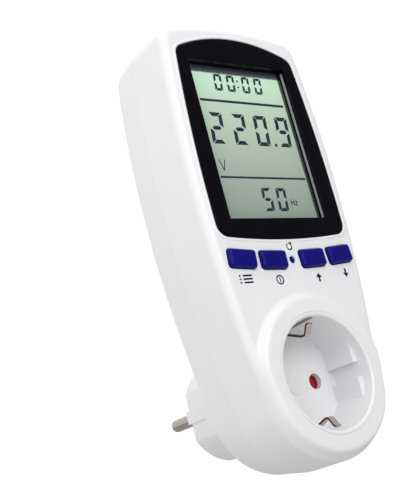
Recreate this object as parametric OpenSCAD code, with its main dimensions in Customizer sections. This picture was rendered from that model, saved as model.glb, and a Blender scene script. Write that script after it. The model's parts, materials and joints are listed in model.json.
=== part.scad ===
// Plug-in power meter: a slim case with a display and keys, a safety socket
// in front and a round earthed plug behind, built up from separate parts.
// Millimetres. X is to the right, Y points into the wall, Z is up.
// The origin is the centre of the plug's end face, between the two pins.

/* [Case] */
// Half width at the widest height
half_width = 35.4; // [34:0.2:38]
// Height of the widest point above the socket axis
wide_height = 77.5; // [70:0.5:85]
// Radius of the bowed long sides
side_radius = 417; // [380:1:460]
// Top of the case above the socket axis
case_top = 133.2; // [132:0.2:138]
// Radius of the arched top
top_radius = 150; // [120:5:200]
// Corner radius at the top
top_corner = 7; // [5.5:0.5:9]
// Lowest point of the case below the socket axis
case_bottom = 29.6; // [29:0.2:31]
// Wall thickness
wall = 2.2; // [1.8:0.1:2.4]
// Radius of the edge around the front face
front_fillet = 3.2; // [2:0.2:4]
// Draft of the front shell, seam to front
front_draft = 0.5; // [0.2:0.1:1]
// Radius of the edge around the back
rear_fillet = 10.5; // [8:0.5:12]
// Draft of the back shell, seam to back
rear_draft = 1.2; // [0.5:0.1:1.6]

/* [Depths behind the socket rim] */
// Front face of the case
face_depth = 2.4; // [2.2:0.1:2.6]
// Seam between the two shells
seam_depth = 21; // [20.6:0.1:21.4]
// Back of the case
rear_depth = 42; // [41.8:0.1:42.4]
// End face of the plug
plug_depth = 61.4; // [61:0.1:62]

/* [Plug] */
// Radius of the round plug body
plug_radius = 18.5; // [18:0.1:18.6]
// Half width across the plug's side flats
plug_flat = 16.3; // [16:0.1:16.6]
// Distance of each pin from the plug's centre
pin_offset = 9.5; // [9.4:0.1:9.6]
// Pin radius
pin_radius = 2.4; // [2.35:0.05:2.45]
// Pin length beyond the plug's end face
pin_length = 19; // [18.5:0.5:19.5]

/* [Socket] */
// Radius of the recess at its mouth
recess_radius = 19.5; // [19.3:0.1:19.6]
// Depth of the recess
recess_depth = 17.8; // [17.5:0.1:18]
// Radius of the pin holes in the recess floor
hole_radius = 2.85; // [2.75:0.05:2.9]
// Outer radius of the raised ring around the recess
turret_radius = 27.6; // [27.2:0.1:27.8]
// Distance of the earth clips' noses from the axis
clip_nose = 13.9; // [13.7:0.1:14.2]

/* [Display and keys] */
// Half width of the black surround
bezel_half_width = 30.1; // [29.5:0.1:30.5]
// Top of the surround
bezel_top = 127.6; // [127:0.2:128]
// Bottom of the surround
bezel_bottom = 48.2; // [48:0.2:49]
// Half width of the display window
window_half_width = 22.8; // [22:0.1:23]
// Bottom of the display window
window_bottom = 56.2; // [56:0.1:57]
// Top of the display window
window_top = 117.4; // [116.8:0.1:117.5]
// Key width
key_width = 11.2; // [10.5:0.1:11.6]
// Key height
key_height = 6.4; // [6:0.1:6.6]
// Key travel
key_travel = 0.5; // [0.3:0.1:0.5]

/* [Hidden] */
$fn = 64;
y_rim = -plug_depth;
y_face = y_rim + face_depth;
y_seam = y_rim + seam_depth;
y_rear = y_rim + rear_depth;
y_in_front = y_face + wall;
y_in_rear = y_rear - wall;
y_floor = y_rim + recess_depth;
floor_thickness = 2.2;
y_floor_back = y_floor + floor_thickness;

// Seam: shadow-line bevel and inner tongue
seam_bevel = 0.3;
tongue_depth = 2;
tongue_outer = 1.25;
tongue_gap = 0.15;

// Case outline arcs
bottom_radius = 29;
bottom_corner = 24;
rear_corner = 7;
rear_end_corner = 4;
arc_steps_bottom = 6;
arc_steps_corner = 6;
arc_steps_side = 8;
arc_steps_top = 6;
fillet_steps = 5;

// Surround outline arcs
bezel_side_radius = 520;
bezel_wide_height = 68;
bezel_top_radius = 64;
bezel_bottom_radius = 240;
bezel_corner = 4.6;
bezel_plate = 1.2;
bezel_proud = 0.1;
bezel_gap = 0.12;
bezel_collar = 1.4;
lip_width = 0.8;
lip_height = 0.25;

// Liquid crystal panel
y_lcd = y_face + 3.3;
lcd_half_width = 23.9;
lcd_bottom = 54.6;
lcd_top = 118.8;
lcd_thickness = 2.2;
reflector_thickness = 0.2;
holder_wall = 0.9;
holder_gap = 0.1;
ledge_width = 1.3;
zebra_width = 1.8;
zebra_half_length = 21.5;

// Display board
y_board = y_face + 9.6;
board_thickness = 1.6;
board_half_width = 28.8;
board_bottom = 33.5;
board_top = 120.8;
board_screw_x = 27;
board_screw_low = 50;
board_screw_high = 112;

// Keys on their shallow arc
key_arc_radius = 258;
key_arc_low = 40.6;
key_inner_x = 9.2;
key_outer_x = 22.9;
key_proud = 1.7;
key_gap = 0.3;
key_corner = 1.1;
key_bevel = 0.5;
key_flange = 0.9;
flange_thickness = 1;
stem_size = 3;
reset_radius = 1.1;
reset_hole = 1.4;
reset_sunk = 0.5;
reset_flange = 2.1;
switch_size = 6;
switch_height = 3.1;
switch_bore = 1.8;
plunger_radius = 1.7;
plunger_proud = 0.85;
plunger_inside = 0.9;

// Case screws
screw_low = [21, 24];
screw_high = [20, 124.5];
post_radius = 3.2;
screw_radius = 1.4;
screw_gap = 0.05;
head_radius = 2.7;
head_height = 2;
counterbore = 3;
y_screw_seat = y_rear - 13;
screw_length = 17;

// Socket insert
insert_radius = 20.9;
insert_gap = 0.12;
floor_radius = 18.9;
mouth_chamfer = 0.9;
insert_flange = 24.6;
insert_flange_thickness = 1.5;
recess_flat = 16.8;
flat_start = 4.5;
groove_half_width = 2.65;
slot_half_width = 1.8;
slot_start = 2.2;
slot_inner = 16.6;
pivot_disc_radius = 3.8;
pivot_disc_height = 0.35;

// Contact carrier and shutter
carrier_radius = 20.4;
carrier_half_height = 16.2;
y_carrier_back = y_rear - 4.6;
chamber_radius = 13.5;
chamber_depth = 2.4;
pivot_radius = 1.6;
pivot_fit = 0.05;
shutter_radius = 12.9;
shutter_thickness = 1.5;
shutter_hub = 4.2;
shutter_half_angle = 19.5;
shutter_play = 0.45;
shutter_swing = 40;
stop_gap = 1.8;
stop_spread = 5;
stop_inner = 10.6;
spring_radius = 2.7;
spring_wire = 0.24;
coil_turns = 3;
coil_steps = 24;
coil_sides = 8;
spring_depth = 2.6;
pocket_half_width = 4.4;
lead_slot = 1.6;
lead_slot_depth = 8;
y_pocket = y_floor_back + 4.6;

// Pins and contacts
pin_shank = 2.7;
pin_seat_fit = 0.02;
pin_flange = 3.4;
pin_tail = 1.9;
end_wall = 3;
hollow_radius = 14;
y_flange_back = -4.8;
y_pin_tail = -9;
retainer_thickness = 2.2;
sleeve_inner = 2.46;
sleeve_outer = 3.3;
sleeve_length = 9.5;
sleeve_slit = 0.8;

// Earth parts
strip_half_width = 2.8;
strip_thickness = 0.8;
plug_strip_inner = 15.1;
plug_strip_tail = 12.6;
strap_inner = 17.2;
clip_half_width = 1.3;
clip_root_gap = 0.4;

// Metering board
y_meter = y_rear - 6.5;
meter_half_width = 27;
meter_bottom = 34;
meter_top = 115;
meter_screw_x = 23;
meter_screw_low = 39;
meter_screw_high = 110;
small_post = 2.4;
small_screw = 1;
display_screw_length = 7;
meter_screw_length = 3.3;
small_head = 2;
small_head_height = 1.4;
lead_radius = 1;
lead_bulge = 0.1;
plug_lead_z = 8.4;
plug_lead_end = 41;

// Point where two circles meet, on the side given by s.
function meet(p0, r0, p1, r1, s) =
  let (d = norm(p1 - p0),
       a = (r0 * r0 - r1 * r1 + d * d) / (2 * d),
       h = sqrt(r0 * r0 - a * a),
       u = (p1 - p0) / d)
  p0 + a * u + s * h * [-u[1], u[0]];

// Arc points after the first, from angle a0 to a1.
function arc(c, r, a0, a1, n) =
  [for (i = [1:n]) c + r * [cos(a0 + (a1 - a0) * i / n), sin(a0 + (a1 - a0) * i / n)]];

function heading(from, to) = atan2(to[1] - from[1], to[0] - from[0]);

// Closed outline of four bowed sides joined by corner arcs, as [x, z] points.
// b is [radius, corner] at the bottom, t the same at the top.
function bowed(half, wide_z, side_r, zb, b, zt, t, inset) =
  let (cs = [half - side_r, wide_z],
       cb = [0, zb + b[0]],
       ct = [0, zt - t[0]],
       kb = meet(cs, side_r - inset - b[1], cb, b[0] - inset - b[1], -1),
       kt = meet(cs, side_r - inset - t[1], ct, t[0] - inset - t[1], 1),
       right = concat(
         [[0, zb + inset]],
         arc(cb, b[0] - inset, -90, heading(cb, kb), arc_steps_bottom),
         arc(kb, b[1], heading(cb, kb), heading(cs, kb), arc_steps_corner),
         arc(cs, side_r - inset, heading(cs, kb), heading(cs, kt), arc_steps_side),
         arc(kt, t[1], heading(cs, kt), heading(ct, kt), arc_steps_corner),
         arc(ct, t[0] - inset, heading(ct, kt), 90, arc_steps_top)),
       n = len(right))
  concat(right, [for (i = [n - 2:-1:1]) [-right[i][0], right[i][1]]]);

// Case outline drawn in by an inset, with its own top corner radius.
function case_outline(inset, corner) =
  bowed(half_width, wide_height, side_radius,
        -case_bottom, [bottom_radius, bottom_corner - inset],
        case_top, [top_radius, corner], inset);

function bezel_outline(grow) =
  bowed(bezel_half_width + grow, bezel_wide_height, bezel_side_radius + grow,
        bezel_bottom - grow, [bezel_bottom_radius + grow, bezel_corner + grow],
        bezel_top + grow, [bezel_top_radius + grow, bezel_corner + grow], 0);

// Front shell levels, each [y, inset, top corner].
function front_levels() = concat(
  [for (i = [0:fillet_steps])
     let (a = 90 - 90 * i / fillet_steps,
          d = front_draft + front_fillet * (1 - cos(a)))
     [y_face + front_fillet * (1 - sin(a)), d, top_corner - d]],
  [[y_seam - seam_bevel, 0, top_corner],
   [y_seam, seam_bevel, top_corner - seam_bevel]]);

// Back shell levels; the top corners grow rounder towards the back.
function rear_levels() = concat(
  [[y_seam, seam_bevel, top_corner - seam_bevel],
   [y_seam + seam_bevel, 0, top_corner]],
  [for (i = [0:fillet_steps])
     let (a = 90 * i / fillet_steps,
          d = rear_draft + rear_fillet * (1 - cos(a)))
     [y_rear - rear_fillet + rear_fillet * sin(a), d,
      rear_corner + (rear_end_corner - rear_corner) * i / fillet_steps]]);

// Solid skinned over a stack of case outlines.
module skinned(levels) {
  loops = [for (l = levels) [for (p = case_outline(l[1], l[2])) [p[0], l[0], p[1]]]];
  n = len(loops[0]);
  m = len(loops);
  polyhedron(
    points = [for (loop = loops) for (p = loop) p],
    faces = concat(
      [[for (j = [n - 1:-1:0]) j]],
      [for (i = [0:m - 2]) for (j = [0:n - 1])
         [i * n + j, i * n + (j + 1) % n, (i + 1) * n + (j + 1) % n, (i + 1) * n + j]],
      [[for (j = [0:n - 1]) (m - 1) * n + j]]),
    convexity = 4);
}

// Extrudes a flat [x, z] shape from y0 back to y1.
module slab(y0, y1) {
  translate([0, y1, 0])
    rotate([90, 0, 0])
      linear_extrude(height = y1 - y0)
        children();
}

// Cylinder along Y from y0 to y1 at [x, z].
module rod(p, y0, y1, r, r2 = -1) {
  translate([p[0], y0, p[1]])
    rotate([-90, 0, 0])
      cylinder(h = y1 - y0, r1 = r, r2 = r2 < 0 ? r : r2);
}

// Box between two corners.
module block(a, b) {
  translate(a)
    cube(b - a);
}

module mirrored() {
  children();
  mirror([1, 0, 0])
    children();
}

module flipped() {
  children();
  mirror([0, 0, 1])
    children();
}

// Both upper and both lower case screw positions.
module at_case_screws() {
  for (p = [screw_low, screw_high]) {
    for (s = [-1, 1]) {
      translate([s * p[0], 0, p[1]])
        children();
    }
  }
}

function key_height_at(x) = key_arc_low + x * x / (2 * key_arc_radius);
function key_tilt(x) = asin(x / key_arc_radius);

// Places a part at a key's centre, square to the key arc.
module at_key(x) {
  translate([x, 0, key_height_at(x)])
    rotate([0, -key_tilt(x), 0])
      children();
}

module key_shape(grow) {
  r = key_corner + grow;
  for (sx = [-1, 1]) {
    for (sz = [-1, 1]) {
      translate([sx * (key_width / 2 - key_corner), sz * (key_height / 2 - key_corner)])
        circle(r, $fn = 32);
    }
  }
  square([key_width + 2 * grow, key_height - 2 * key_corner], center = true);
  square([key_width - 2 * key_corner, key_height + 2 * grow], center = true);
}

// Front shell: face, raised socket ring, pockets and posts.
module front_case() {
  color("whitesmoke") {
    difference() {
      union() {
        skinned(front_levels());
        turret();
        slab(y_face - lip_height, y_face + 0.4)
          difference() {
            polygon(bezel_outline(bezel_gap + lip_width));
            polygon(bezel_outline(bezel_gap));
          }
      }
      skinned([
        [y_in_front, wall + front_draft + 1, 3.6],
        [y_in_front + 1.4, wall + front_draft, 4.4],
        [y_seam - tongue_depth - tongue_gap, wall, 4.8],
        [y_seam - tongue_depth - tongue_gap + 0.01, tongue_outer - tongue_gap, 5.8],
        [y_seam + 1, tongue_outer - tongue_gap, 5.8]]);
      slab(y_face - 1, y_face + bezel_plate)
        polygon(bezel_outline(bezel_gap));
      window_cut(bezel_collar + 0.25, y_face - 1, y_in_front + 1);
      for (x = [-key_outer_x, -key_inner_x, key_inner_x, key_outer_x]) {
        at_key(x)
          slab(y_face - 1, y_in_front + 1)
            key_shape(key_gap);
      }
      rod([0, key_arc_low], y_face - 1, y_in_front + 1, reset_hole);
      rod([0, 0], y_rim - 1, y_in_front + 1, insert_radius + insert_gap);
      rod([0, 0], y_rim + wall, y_in_front + 1, insert_flange + 0.3);
    }
    at_case_screws()
      post(y_in_front - 0.4, y_seam, post_radius, screw_radius + screw_gap, 10.8);
    mirrored() {
      for (z = [board_screw_low, board_screw_high]) {
        translate([board_screw_x, 0, z])
          post(y_in_front - 0.4, y_board, small_post - 0.5, small_screw, 6);
      }
    }
  }
}

// Post along Y with a blind pilot hole in its back end.
module post(y0, y1, r, pilot, depth) {
  difference() {
    rod([0, 0], y0, y1, r);
    rod([0, 0], y1 - depth, y1 + 1, pilot);
  }
}

module window_cut(grow, y0, y1) {
  block([-window_half_width - grow, y0, window_bottom - grow],
        [window_half_width + grow, y1, window_top + grow]);
}

// Raised ring around the socket, with a rounded shoulder.
module turret() {
  shoulder = turret_radius - 25.2;
  translate([0, y_rim, 0])
    rotate([-90, 0, 0])
      rotate_extrude($fn = 96) {
        translate([turret_radius - shoulder, shoulder])
          intersection() {
            circle(shoulder, $fn = 48);
            translate([0, -shoulder])
              square(shoulder);
          }
        translate([insert_radius - 2, 0])
          square([turret_radius - shoulder - insert_radius + 2, face_depth + 2]);
        translate([turret_radius - shoulder - 1, shoulder])
          square([shoulder + 1, 4.2]);
      }
}

// Back shell with the plug body, posts and standoffs.
module rear_case() {
  color("whitesmoke") {
    difference() {
      union() {
        difference() {
          union() {
            skinned(rear_levels());
            tongue();
            plug_body();
          }
          skinned(rear_inside());
          plug_hollow();
          earth_slots();
          mirrored()
            rod([pin_offset, 0], -end_wall - 1, 1, pin_shank + pin_seat_fit);
        }
        intersection() {
          skinned(rear_levels());
          at_case_screws()
            rod([0, 0], y_seam, y_rear - 1, post_radius + 1);
        }
        mirrored() {
          for (z = [meter_screw_low, meter_screw_high]) {
            translate([meter_screw_x, 0, z])
              difference() {
                rod([0, 0], y_meter + board_thickness, y_in_rear + 0.4, small_post);
                rod([0, 0], y_meter, y_in_rear - 0.8, small_screw);
              }
          }
        }
      }
      at_case_screws() {
        rod([0, 0], y_seam - 1, y_rear + 1, screw_radius + 0.3);
        rod([0, 0], y_screw_seat, y_rear + 1, counterbore);
      }
    }
  }
}

function rear_inside() = concat(
  [[y_seam - 1, wall, top_corner - wall]],
  [for (i = [0:fillet_steps])
     let (a = 90 * i / fillet_steps,
          r = rear_fillet - wall,
          d = rear_draft + wall + r * (1 - cos(a)))
     [y_rear - rear_fillet + r * sin(a), d,
      rear_corner - wall + (rear_end_corner - rear_corner + wall) * i / fillet_steps]]);

// Tongue that enters the front shell at the seam.
module tongue() {
  slab(y_seam - tongue_depth, y_seam + 0.4)
    difference() {
      polygon(case_outline(tongue_outer, top_corner - tongue_outer));
      polygon(case_outline(wall, top_corner - wall));
    }
}

// Round plug body with side flats and one key rib on each flat.
module plug_body() {
  edge = 2;
  intersection() {
    translate([0, y_rear - 3, 0])
      rotate([-90, 0, 0])
        rotate_extrude($fn = 96) {
          square([plug_radius, -y_rear + 3 - edge]);
          square([plug_radius - edge, -y_rear + 3]);
          translate([plug_radius - edge, -y_rear + 3 - edge])
            circle(edge, $fn = 48);
        }
    block([-plug_flat, y_rear - 4, -plug_radius], [plug_flat, 1, plug_radius]);
  }
  mirrored()
    block([plug_flat - 1, -10.4, -2.3], [plug_flat + 0.65, 0, 2.3]);
}

module plug_hollow() {
  intersection() {
    rod([0, 0], y_rear - 4, -end_wall, hollow_radius);
    block([-plug_flat + 2, y_rear - 5, -plug_radius], [plug_flat - 2, 0, plug_radius]);
  }
}

// Open slots along the top and bottom of the plug for the earth strips.
module earth_slots() {
  flipped() {
    block([-3.3, -17.2, plug_strip_inner - 0.1], [3.3, 1, plug_radius + 1]);
    block([-3.3, -17.2, plug_strip_tail - 1], [3.3, -15.8, plug_radius]);
  }
}

// Black surround: plate in the case pocket and a collar down to the panel.
module bezel_frame() {
  color("black")
    difference() {
      union() {
        slab(y_face - bezel_proud, y_face + bezel_plate)
          polygon(bezel_outline(0));
        window_cut(bezel_collar, y_face, y_lcd - 0.1);
      }
      window_cut(0, y_face - 1, y_lcd + 1);
    }
}

// Glass cell of the display.
module lcd_glass() {
  color("darkseagreen")
    block([-lcd_half_width, y_lcd, lcd_bottom],
          [lcd_half_width, y_lcd + lcd_thickness, lcd_top]);
}

module lcd_reflector() {
  color("silver")
    block([-lcd_half_width + 1.5, y_lcd + lcd_thickness, lcd_bottom + 3],
          [lcd_half_width - 1.5, y_lcd + lcd_thickness + reflector_thickness, lcd_top - 3]);
}

// Frame that squares the glass up over the board.
module lcd_holder() {
  in = holder_gap;
  out = holder_gap + holder_wall;
  color("white")
    difference() {
      block([-lcd_half_width - out, y_lcd, lcd_bottom - out],
            [lcd_half_width + out, y_board, lcd_top + out]);
      block([-lcd_half_width - in, y_lcd - 1, lcd_bottom - in],
            [lcd_half_width + in, y_lcd + lcd_thickness + 0.3, lcd_top + in]);
      block([-lcd_half_width + ledge_width, y_lcd, lcd_bottom - in],
            [lcd_half_width - ledge_width, y_board + 1, lcd_top + in]);
    }
}

// Rubber strips that join the glass to the board.
module zebra_strips() {
  color("dimgray")
    for (z = [lcd_bottom + 0.3, lcd_top - 0.3 - zebra_width]) {
      block([-zebra_half_length, y_lcd + lcd_thickness, z],
            [zebra_half_length, y_board, z + zebra_width]);
    }
}

module display_board() {
  color("darkgreen")
    difference() {
      block([-board_half_width, y_board, board_bottom],
            [board_half_width, y_board + board_thickness, board_top]);
      mirrored() {
        for (z = [board_screw_low, board_screw_high]) {
          rod([board_screw_x, z], y_board - 1, y_board + board_thickness + 1, small_screw + 0.2);
        }
      }
    }
}

// Resin cap over the display driver.
module driver_blob() {
  y = y_board + board_thickness;
  color("black")
    intersection() {
      translate([0, y - 12, 84])
        sphere(13.8, $fn = 160);
      block([-8, y, 76], [8, y + 4, 92]);
    }
}

// Key cap with a bevelled face, a retaining flange and a stem.
module key_cap() {
  y_front = y_face - key_proud;
  y_flange = y_in_front + key_gap;
  color("navy") {
    difference() {
      slab(y_front, y_flange)
        key_shape(0);
      key_bevels(y_front);
    }
    slab(y_flange, y_flange + flange_thickness)
      key_shape(key_flange);
    block([-stem_size / 2, y_flange, -stem_size / 2],
          [stem_size / 2, y_board - switch_height - plunger_proud, stem_size / 2]);
  }
}

// Slanted cuts along the four front edges of a key.
module key_bevels(y_front) {
  d = key_bevel * sqrt(2);
  for (s = [-1, 1]) {
    translate([0, y_front, s * key_height / 2])
      rotate([45, 0, 0])
        cube([key_width + 2, d, d], center = true);
    translate([s * key_width / 2, y_front, 0])
      rotate([0, 0, 45])
        cube([d, d, key_height + 2], center = true);
  }
}

module function_key() {
  at_key(-key_outer_x)
    key_cap();
}

module cost_key() {
  at_key(-key_inner_x)
    key_cap();
}

module up_key() {
  at_key(key_inner_x)
    key_cap();
}

module down_key() {
  at_key(key_outer_x)
    key_cap();
}

// Sunk reset pin, worked with a pen tip.
module reset_pin() {
  y_flange = y_in_front + key_gap;
  at_key(0)
    color("navy") {
      rod([0, 0], y_face + reset_sunk, y_flange, reset_radius);
      rod([0, 0], y_flange, y_flange + flange_thickness, reset_flange);
      rod([0, 0], y_flange, y_board - switch_height - plunger_proud, reset_radius);
    }
}

// Push button of a key switch.
module plunger() {
  color("dimgray")
    rod([0, 0], y_board - switch_height - plunger_proud,
        y_board - switch_height + plunger_inside, plunger_radius);
}

module function_plunger() {
  at_key(-key_outer_x)
    plunger();
}

module cost_plunger() {
  at_key(-key_inner_x)
    plunger();
}

module up_plunger() {
  at_key(key_inner_x)
    plunger();
}

module down_plunger() {
  at_key(key_outer_x)
    plunger();
}

module reset_plunger() {
  at_key(0)
    plunger();
}

// Five key switch housings on the display board.
module switch_bodies() {
  half = switch_size / 2;
  color("gray")
    for (x = [-key_outer_x, -key_inner_x, 0, key_inner_x, key_outer_x]) {
      at_key(x)
        difference() {
          block([-half, y_board - switch_height, -half], [half, y_board, half]);
          rod([0, 0], y_board - switch_height - 1,
              y_board - switch_height + plunger_inside + key_travel + 0.3, switch_bore);
        }
    }
}

// Pan head screw along Y; the head lies behind the seat.
module small_screws(y_seat, length, side) {
  rod([0, 0], min(y_seat, y_seat - side * length), max(y_seat, y_seat - side * length),
      small_screw);
  rod([0, 0], min(y_seat, y_seat + side * small_head_height),
      max(y_seat, y_seat + side * small_head_height), small_head);
}

module display_screws() {
  color("silver")
    mirrored() {
      for (z = [board_screw_low, board_screw_high]) {
        translate([board_screw_x, 0, z])
          small_screws(y_board + board_thickness, display_screw_length, 1);
      }
    }
}

// Socket cup: wall, side flats with a groove, floor with pin holes, and flange.
module socket_insert() {
  color("whitesmoke")
    difference() {
      union() {
        difference() {
          union() {
            rod([0, 0], y_rim, y_floor_back, insert_radius);
            rod([0, 0], y_rim + wall + 0.1, y_rim + wall + 0.1 + insert_flange_thickness,
                insert_flange);
          }
          rod([0, 0], y_rim, y_floor, recess_radius, floor_radius);
          rod([0, 0], y_rim - 0.01, y_rim + mouth_chamfer, recess_radius + mouth_chamfer,
              recess_radius);
        }
        mirrored()
          intersection() {
            difference() {
              block([recess_flat, y_rim + flat_start, -recess_radius],
                    [insert_radius, y_floor + 1, recess_radius]);
              block([recess_flat - 1, y_rim, -groove_half_width],
                    [insert_radius + 1, y_floor, groove_half_width]);
            }
            rod([0, 0], y_rim, y_floor_back, insert_radius - 0.3);
          }
        rod([0, 0], y_floor - pivot_disc_height, y_floor + 1, pivot_disc_radius);
      }
      mirrored()
        rod([pin_offset, 0], y_floor - 1, y_floor_back + 1, hole_radius);
      flipped()
        block([-slot_half_width, y_rim + slot_start, slot_inner],
              [slot_half_width, y_floor_back + 1, insert_radius + 5]);
    }
}

// Block behind the cup that holds the contacts and houses the shutter.
module contact_carrier() {
  color("gainsboro") {
    difference() {
      intersection() {
        rod([0, 0], y_floor_back, y_carrier_back, carrier_radius);
        block([-carrier_radius, y_floor_back - 1, -carrier_half_height],
              [carrier_radius, y_carrier_back + 1, carrier_half_height]);
      }
      rod([0, 0], y_floor_back - 1, y_floor_back + chamber_depth, chamber_radius);
      rod([0, 0], y_floor_back, y_floor_back + chamber_depth + spring_depth, 4);
      mirrored() {
        rod([pin_offset, 0], y_floor_back, y_pocket + 1, hole_radius);
        block([pin_offset - pocket_half_width, y_pocket, -pocket_half_width],
              [pin_offset + pocket_half_width, y_carrier_back + 1, pocket_half_width]);
        block([pin_offset - lead_slot, y_carrier_back - lead_slot_depth, 0],
              [pin_offset + lead_slot, y_carrier_back + 1, carrier_half_height + 1]);
      }
    }
    rod([0, 0], y_floor_back + 0.4, y_floor_back + chamber_depth + spring_depth + 1, pivot_radius);
    intersection() {
      rod([0, 0], y_floor_back + 0.4, y_floor_back + chamber_depth + 0.5, chamber_radius + 0.5);
      for (turn = [0, 180]) {
        for (a = [shutter_half_angle + stop_gap,
                  -shutter_half_angle - shutter_swing - stop_gap - stop_spread]) {
          rotate([0, turn - a, 0])
            shutter_stop();
        }
      }
    }
  }
}

// Stop that meets the edge of a shutter blade.
module shutter_stop() {
  slab(y_floor_back + 0.4, y_floor_back + chamber_depth + 0.5)
    polygon([
      [stop_inner, 0],
      [chamber_radius + 1, 0],
      [(chamber_radius + 1) * cos(stop_spread), (chamber_radius + 1) * sin(stop_spread)],
      [stop_inner * cos(stop_spread), stop_inner * sin(stop_spread)]]);
}

// Red turning shutter: a hub and two blades that cover the pin holes.
module safety_shutter() {
  y0 = y_floor_back + shutter_play;
  y1 = y0 + shutter_thickness;
  reach = shutter_radius / cos(shutter_half_angle) + 1;
  color("firebrick")
    difference() {
      union() {
        rod([0, 0], y0, y1, shutter_hub);
        intersection() {
          rod([0, 0], y0, y1, shutter_radius);
          mirrored()
            slab(y0, y1)
              polygon([
                [0, 0],
                [reach * cos(shutter_half_angle), -reach * sin(shutter_half_angle)],
                [reach * cos(shutter_half_angle), reach * sin(shutter_half_angle)]]);
        }
      }
      rod([0, 0], y0 - 1, y1 + 1, pivot_radius + pivot_fit);
    }
}

// Return spring: round wire wound around the shutter's pivot.
module shutter_spring() {
  y0 = y_floor_back + chamber_depth + spring_wire + 0.1;
  rise = spring_depth - 2 * spring_wire - 0.2;
  n = coil_sides;
  m = coil_turns * coil_steps;
  color("silver")
    polyhedron(
      points = [
        for (i = [0:m])
          for (j = [0:n - 1])
            let (a = 360 * i / coil_steps,
                 r = spring_radius + spring_wire * cos(360 * j / n))
            [r * cos(a), y0 + rise * i / m + spring_wire * sin(360 * j / n), r * sin(a)]],
      faces = concat(
        [[for (j = [0:n - 1]) j]],
        [for (i = [0:m - 1]) for (j = [0:n - 1])
           [i * n + j, (i + 1) * n + j, (i + 1) * n + (j + 1) % n, i * n + (j + 1) % n]],
        [[for (j = [n - 1:-1:0]) m * n + j]]),
      convexity = 8);
}

// Slit sleeve that grips a plug pin, with a wire tag.
module contact_sleeve() {
  y0 = y_pocket + 0.3;
  y1 = y0 + sleeve_length;
  color("goldenrod")
    difference() {
      union() {
        rod([pin_offset, 0], y0, y1, sleeve_outer);
        block([pin_offset - 1.2, y1 - 4.4, 2.8], [pin_offset + 1.2, y1 - 3.4, 8]);
      }
      rod([pin_offset, 0], y0 - 1, y1 - 1, sleeve_inner);
      block([pin_offset - sleeve_slit / 2, y0 - 1, -sleeve_outer - 1],
            [pin_offset + sleeve_slit / 2, y1 - 4, 0]);
    }
}

module left_contact() {
  mirror([1, 0, 0])
    contact_sleeve();
}

module right_contact() {
  contact_sleeve();
}

// Sprung earth clip: a strip whose nose stands into the recess.
module earth_clip() {
  t = strip_thickness;
  z_back = strap_inner;
  color("silver")
    translate([-clip_half_width, 0, 0])
      rotate([90, 0, 90])
        linear_extrude(height = 2 * clip_half_width)
          polygon([
            [y_floor_back - clip_root_gap, z_back],
            [y_rim + 16.2, z_back],
            [y_rim + 7.4, clip_nose],
            [y_rim + 5.4, clip_nose],
            [y_rim + 3.8, z_back - 0.4],
            [y_rim + 2.9, z_back + 0.2],
            [y_rim + 3.34, z_back + 0.87],
            [y_rim + 4.41, z_back + 0.16],
            [y_rim + 5.88, clip_nose + t],
            [y_rim + 7.25, clip_nose + t],
            [y_rim + 16.05, z_back + t],
            [y_floor_back - clip_root_gap, z_back + t]]);
}

module upper_earth_clip() {
  earth_clip();
}

module lower_earth_clip() {
  mirror([0, 0, 1])
    earth_clip();
}

// Earth strip: contact face on the plug, tail into the case, strap to the clip.
module earth_strip() {
  w = strip_half_width;
  t = strip_thickness;
  zi = plug_strip_inner;
  zt = plug_strip_tail;
  yt = -17;
  yb = y_in_rear - 1.3;
  color("silver") {
    block([-w, yt, zi], [w, -1.2, zi + t]);
    block([-w, yt, zt], [w, yt + t, zi]);
    block([-w, yb, zt], [w, yt, zt + t]);
    block([-w, yb, zt + t], [w, yb + t, strap_inner]);
    block([-w, y_floor_back, strap_inner], [w, yb + t, strap_inner + t]);
  }
}

module upper_earth_strip() {
  earth_strip();
}

module lower_earth_strip() {
  mirror([0, 0, 1])
    earth_strip();
}

// Bar that joins the two earth strips behind the carrier.
module earth_link() {
  yb = y_in_rear - 1.3;
  color("silver")
    block([-strip_half_width, yb, -plug_strip_tail],
          [strip_half_width, yb + strip_thickness, plug_strip_tail]);
}

// Solid pin with a rounded tip, a flange behind the end wall and a tail.
module plug_pin() {
  tip = 1.3;
  color("silver") {
    translate([pin_offset, -end_wall, 0])
      rotate([-90, 0, 0])
        rotate_extrude() {
          square([pin_shank, end_wall]);
          square([pin_radius, pin_length + end_wall - tip]);
          square([pin_radius - tip, pin_length + end_wall]);
          translate([pin_radius - tip, pin_length + end_wall - tip])
            intersection() {
              circle(tip, $fn = 48);
              square(tip);
            }
        }
    rod([pin_offset, 0], y_flange_back, -end_wall, pin_flange);
    rod([pin_offset, 0], y_pin_tail, y_flange_back, pin_tail);
  }
}

module left_pin() {
  mirror([1, 0, 0])
    plug_pin();
}

module right_pin() {
  plug_pin();
}

// Plate that keeps the pin flanges against the plug's end wall.
module pin_retainer() {
  color("gainsboro")
    difference() {
      intersection() {
        rod([0, 0], y_flange_back - retainer_thickness, y_flange_back, hollow_radius - 0.3);
        block([-plug_flat + 2.2, -8, -12], [plug_flat - 2.2, 0, 12]);
      }
      mirrored()
        rod([pin_offset, 0], -8, 0, pin_tail + 0.1);
    }
}

// Insulated lead along a list of points.
module lead(points) {
  for (i = [0:len(points) - 2]) {
    v = points[i + 1] - points[i];
    translate(points[i])
      rotate([0, acos(v[2] / norm(v)), atan2(v[1], v[0])])
        cylinder(h = norm(v), r = lead_radius);
  }
  for (i = [1:len(points) - 2]) {
    translate(points[i])
      sphere(lead_radius + lead_bulge);
  }
}

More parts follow.
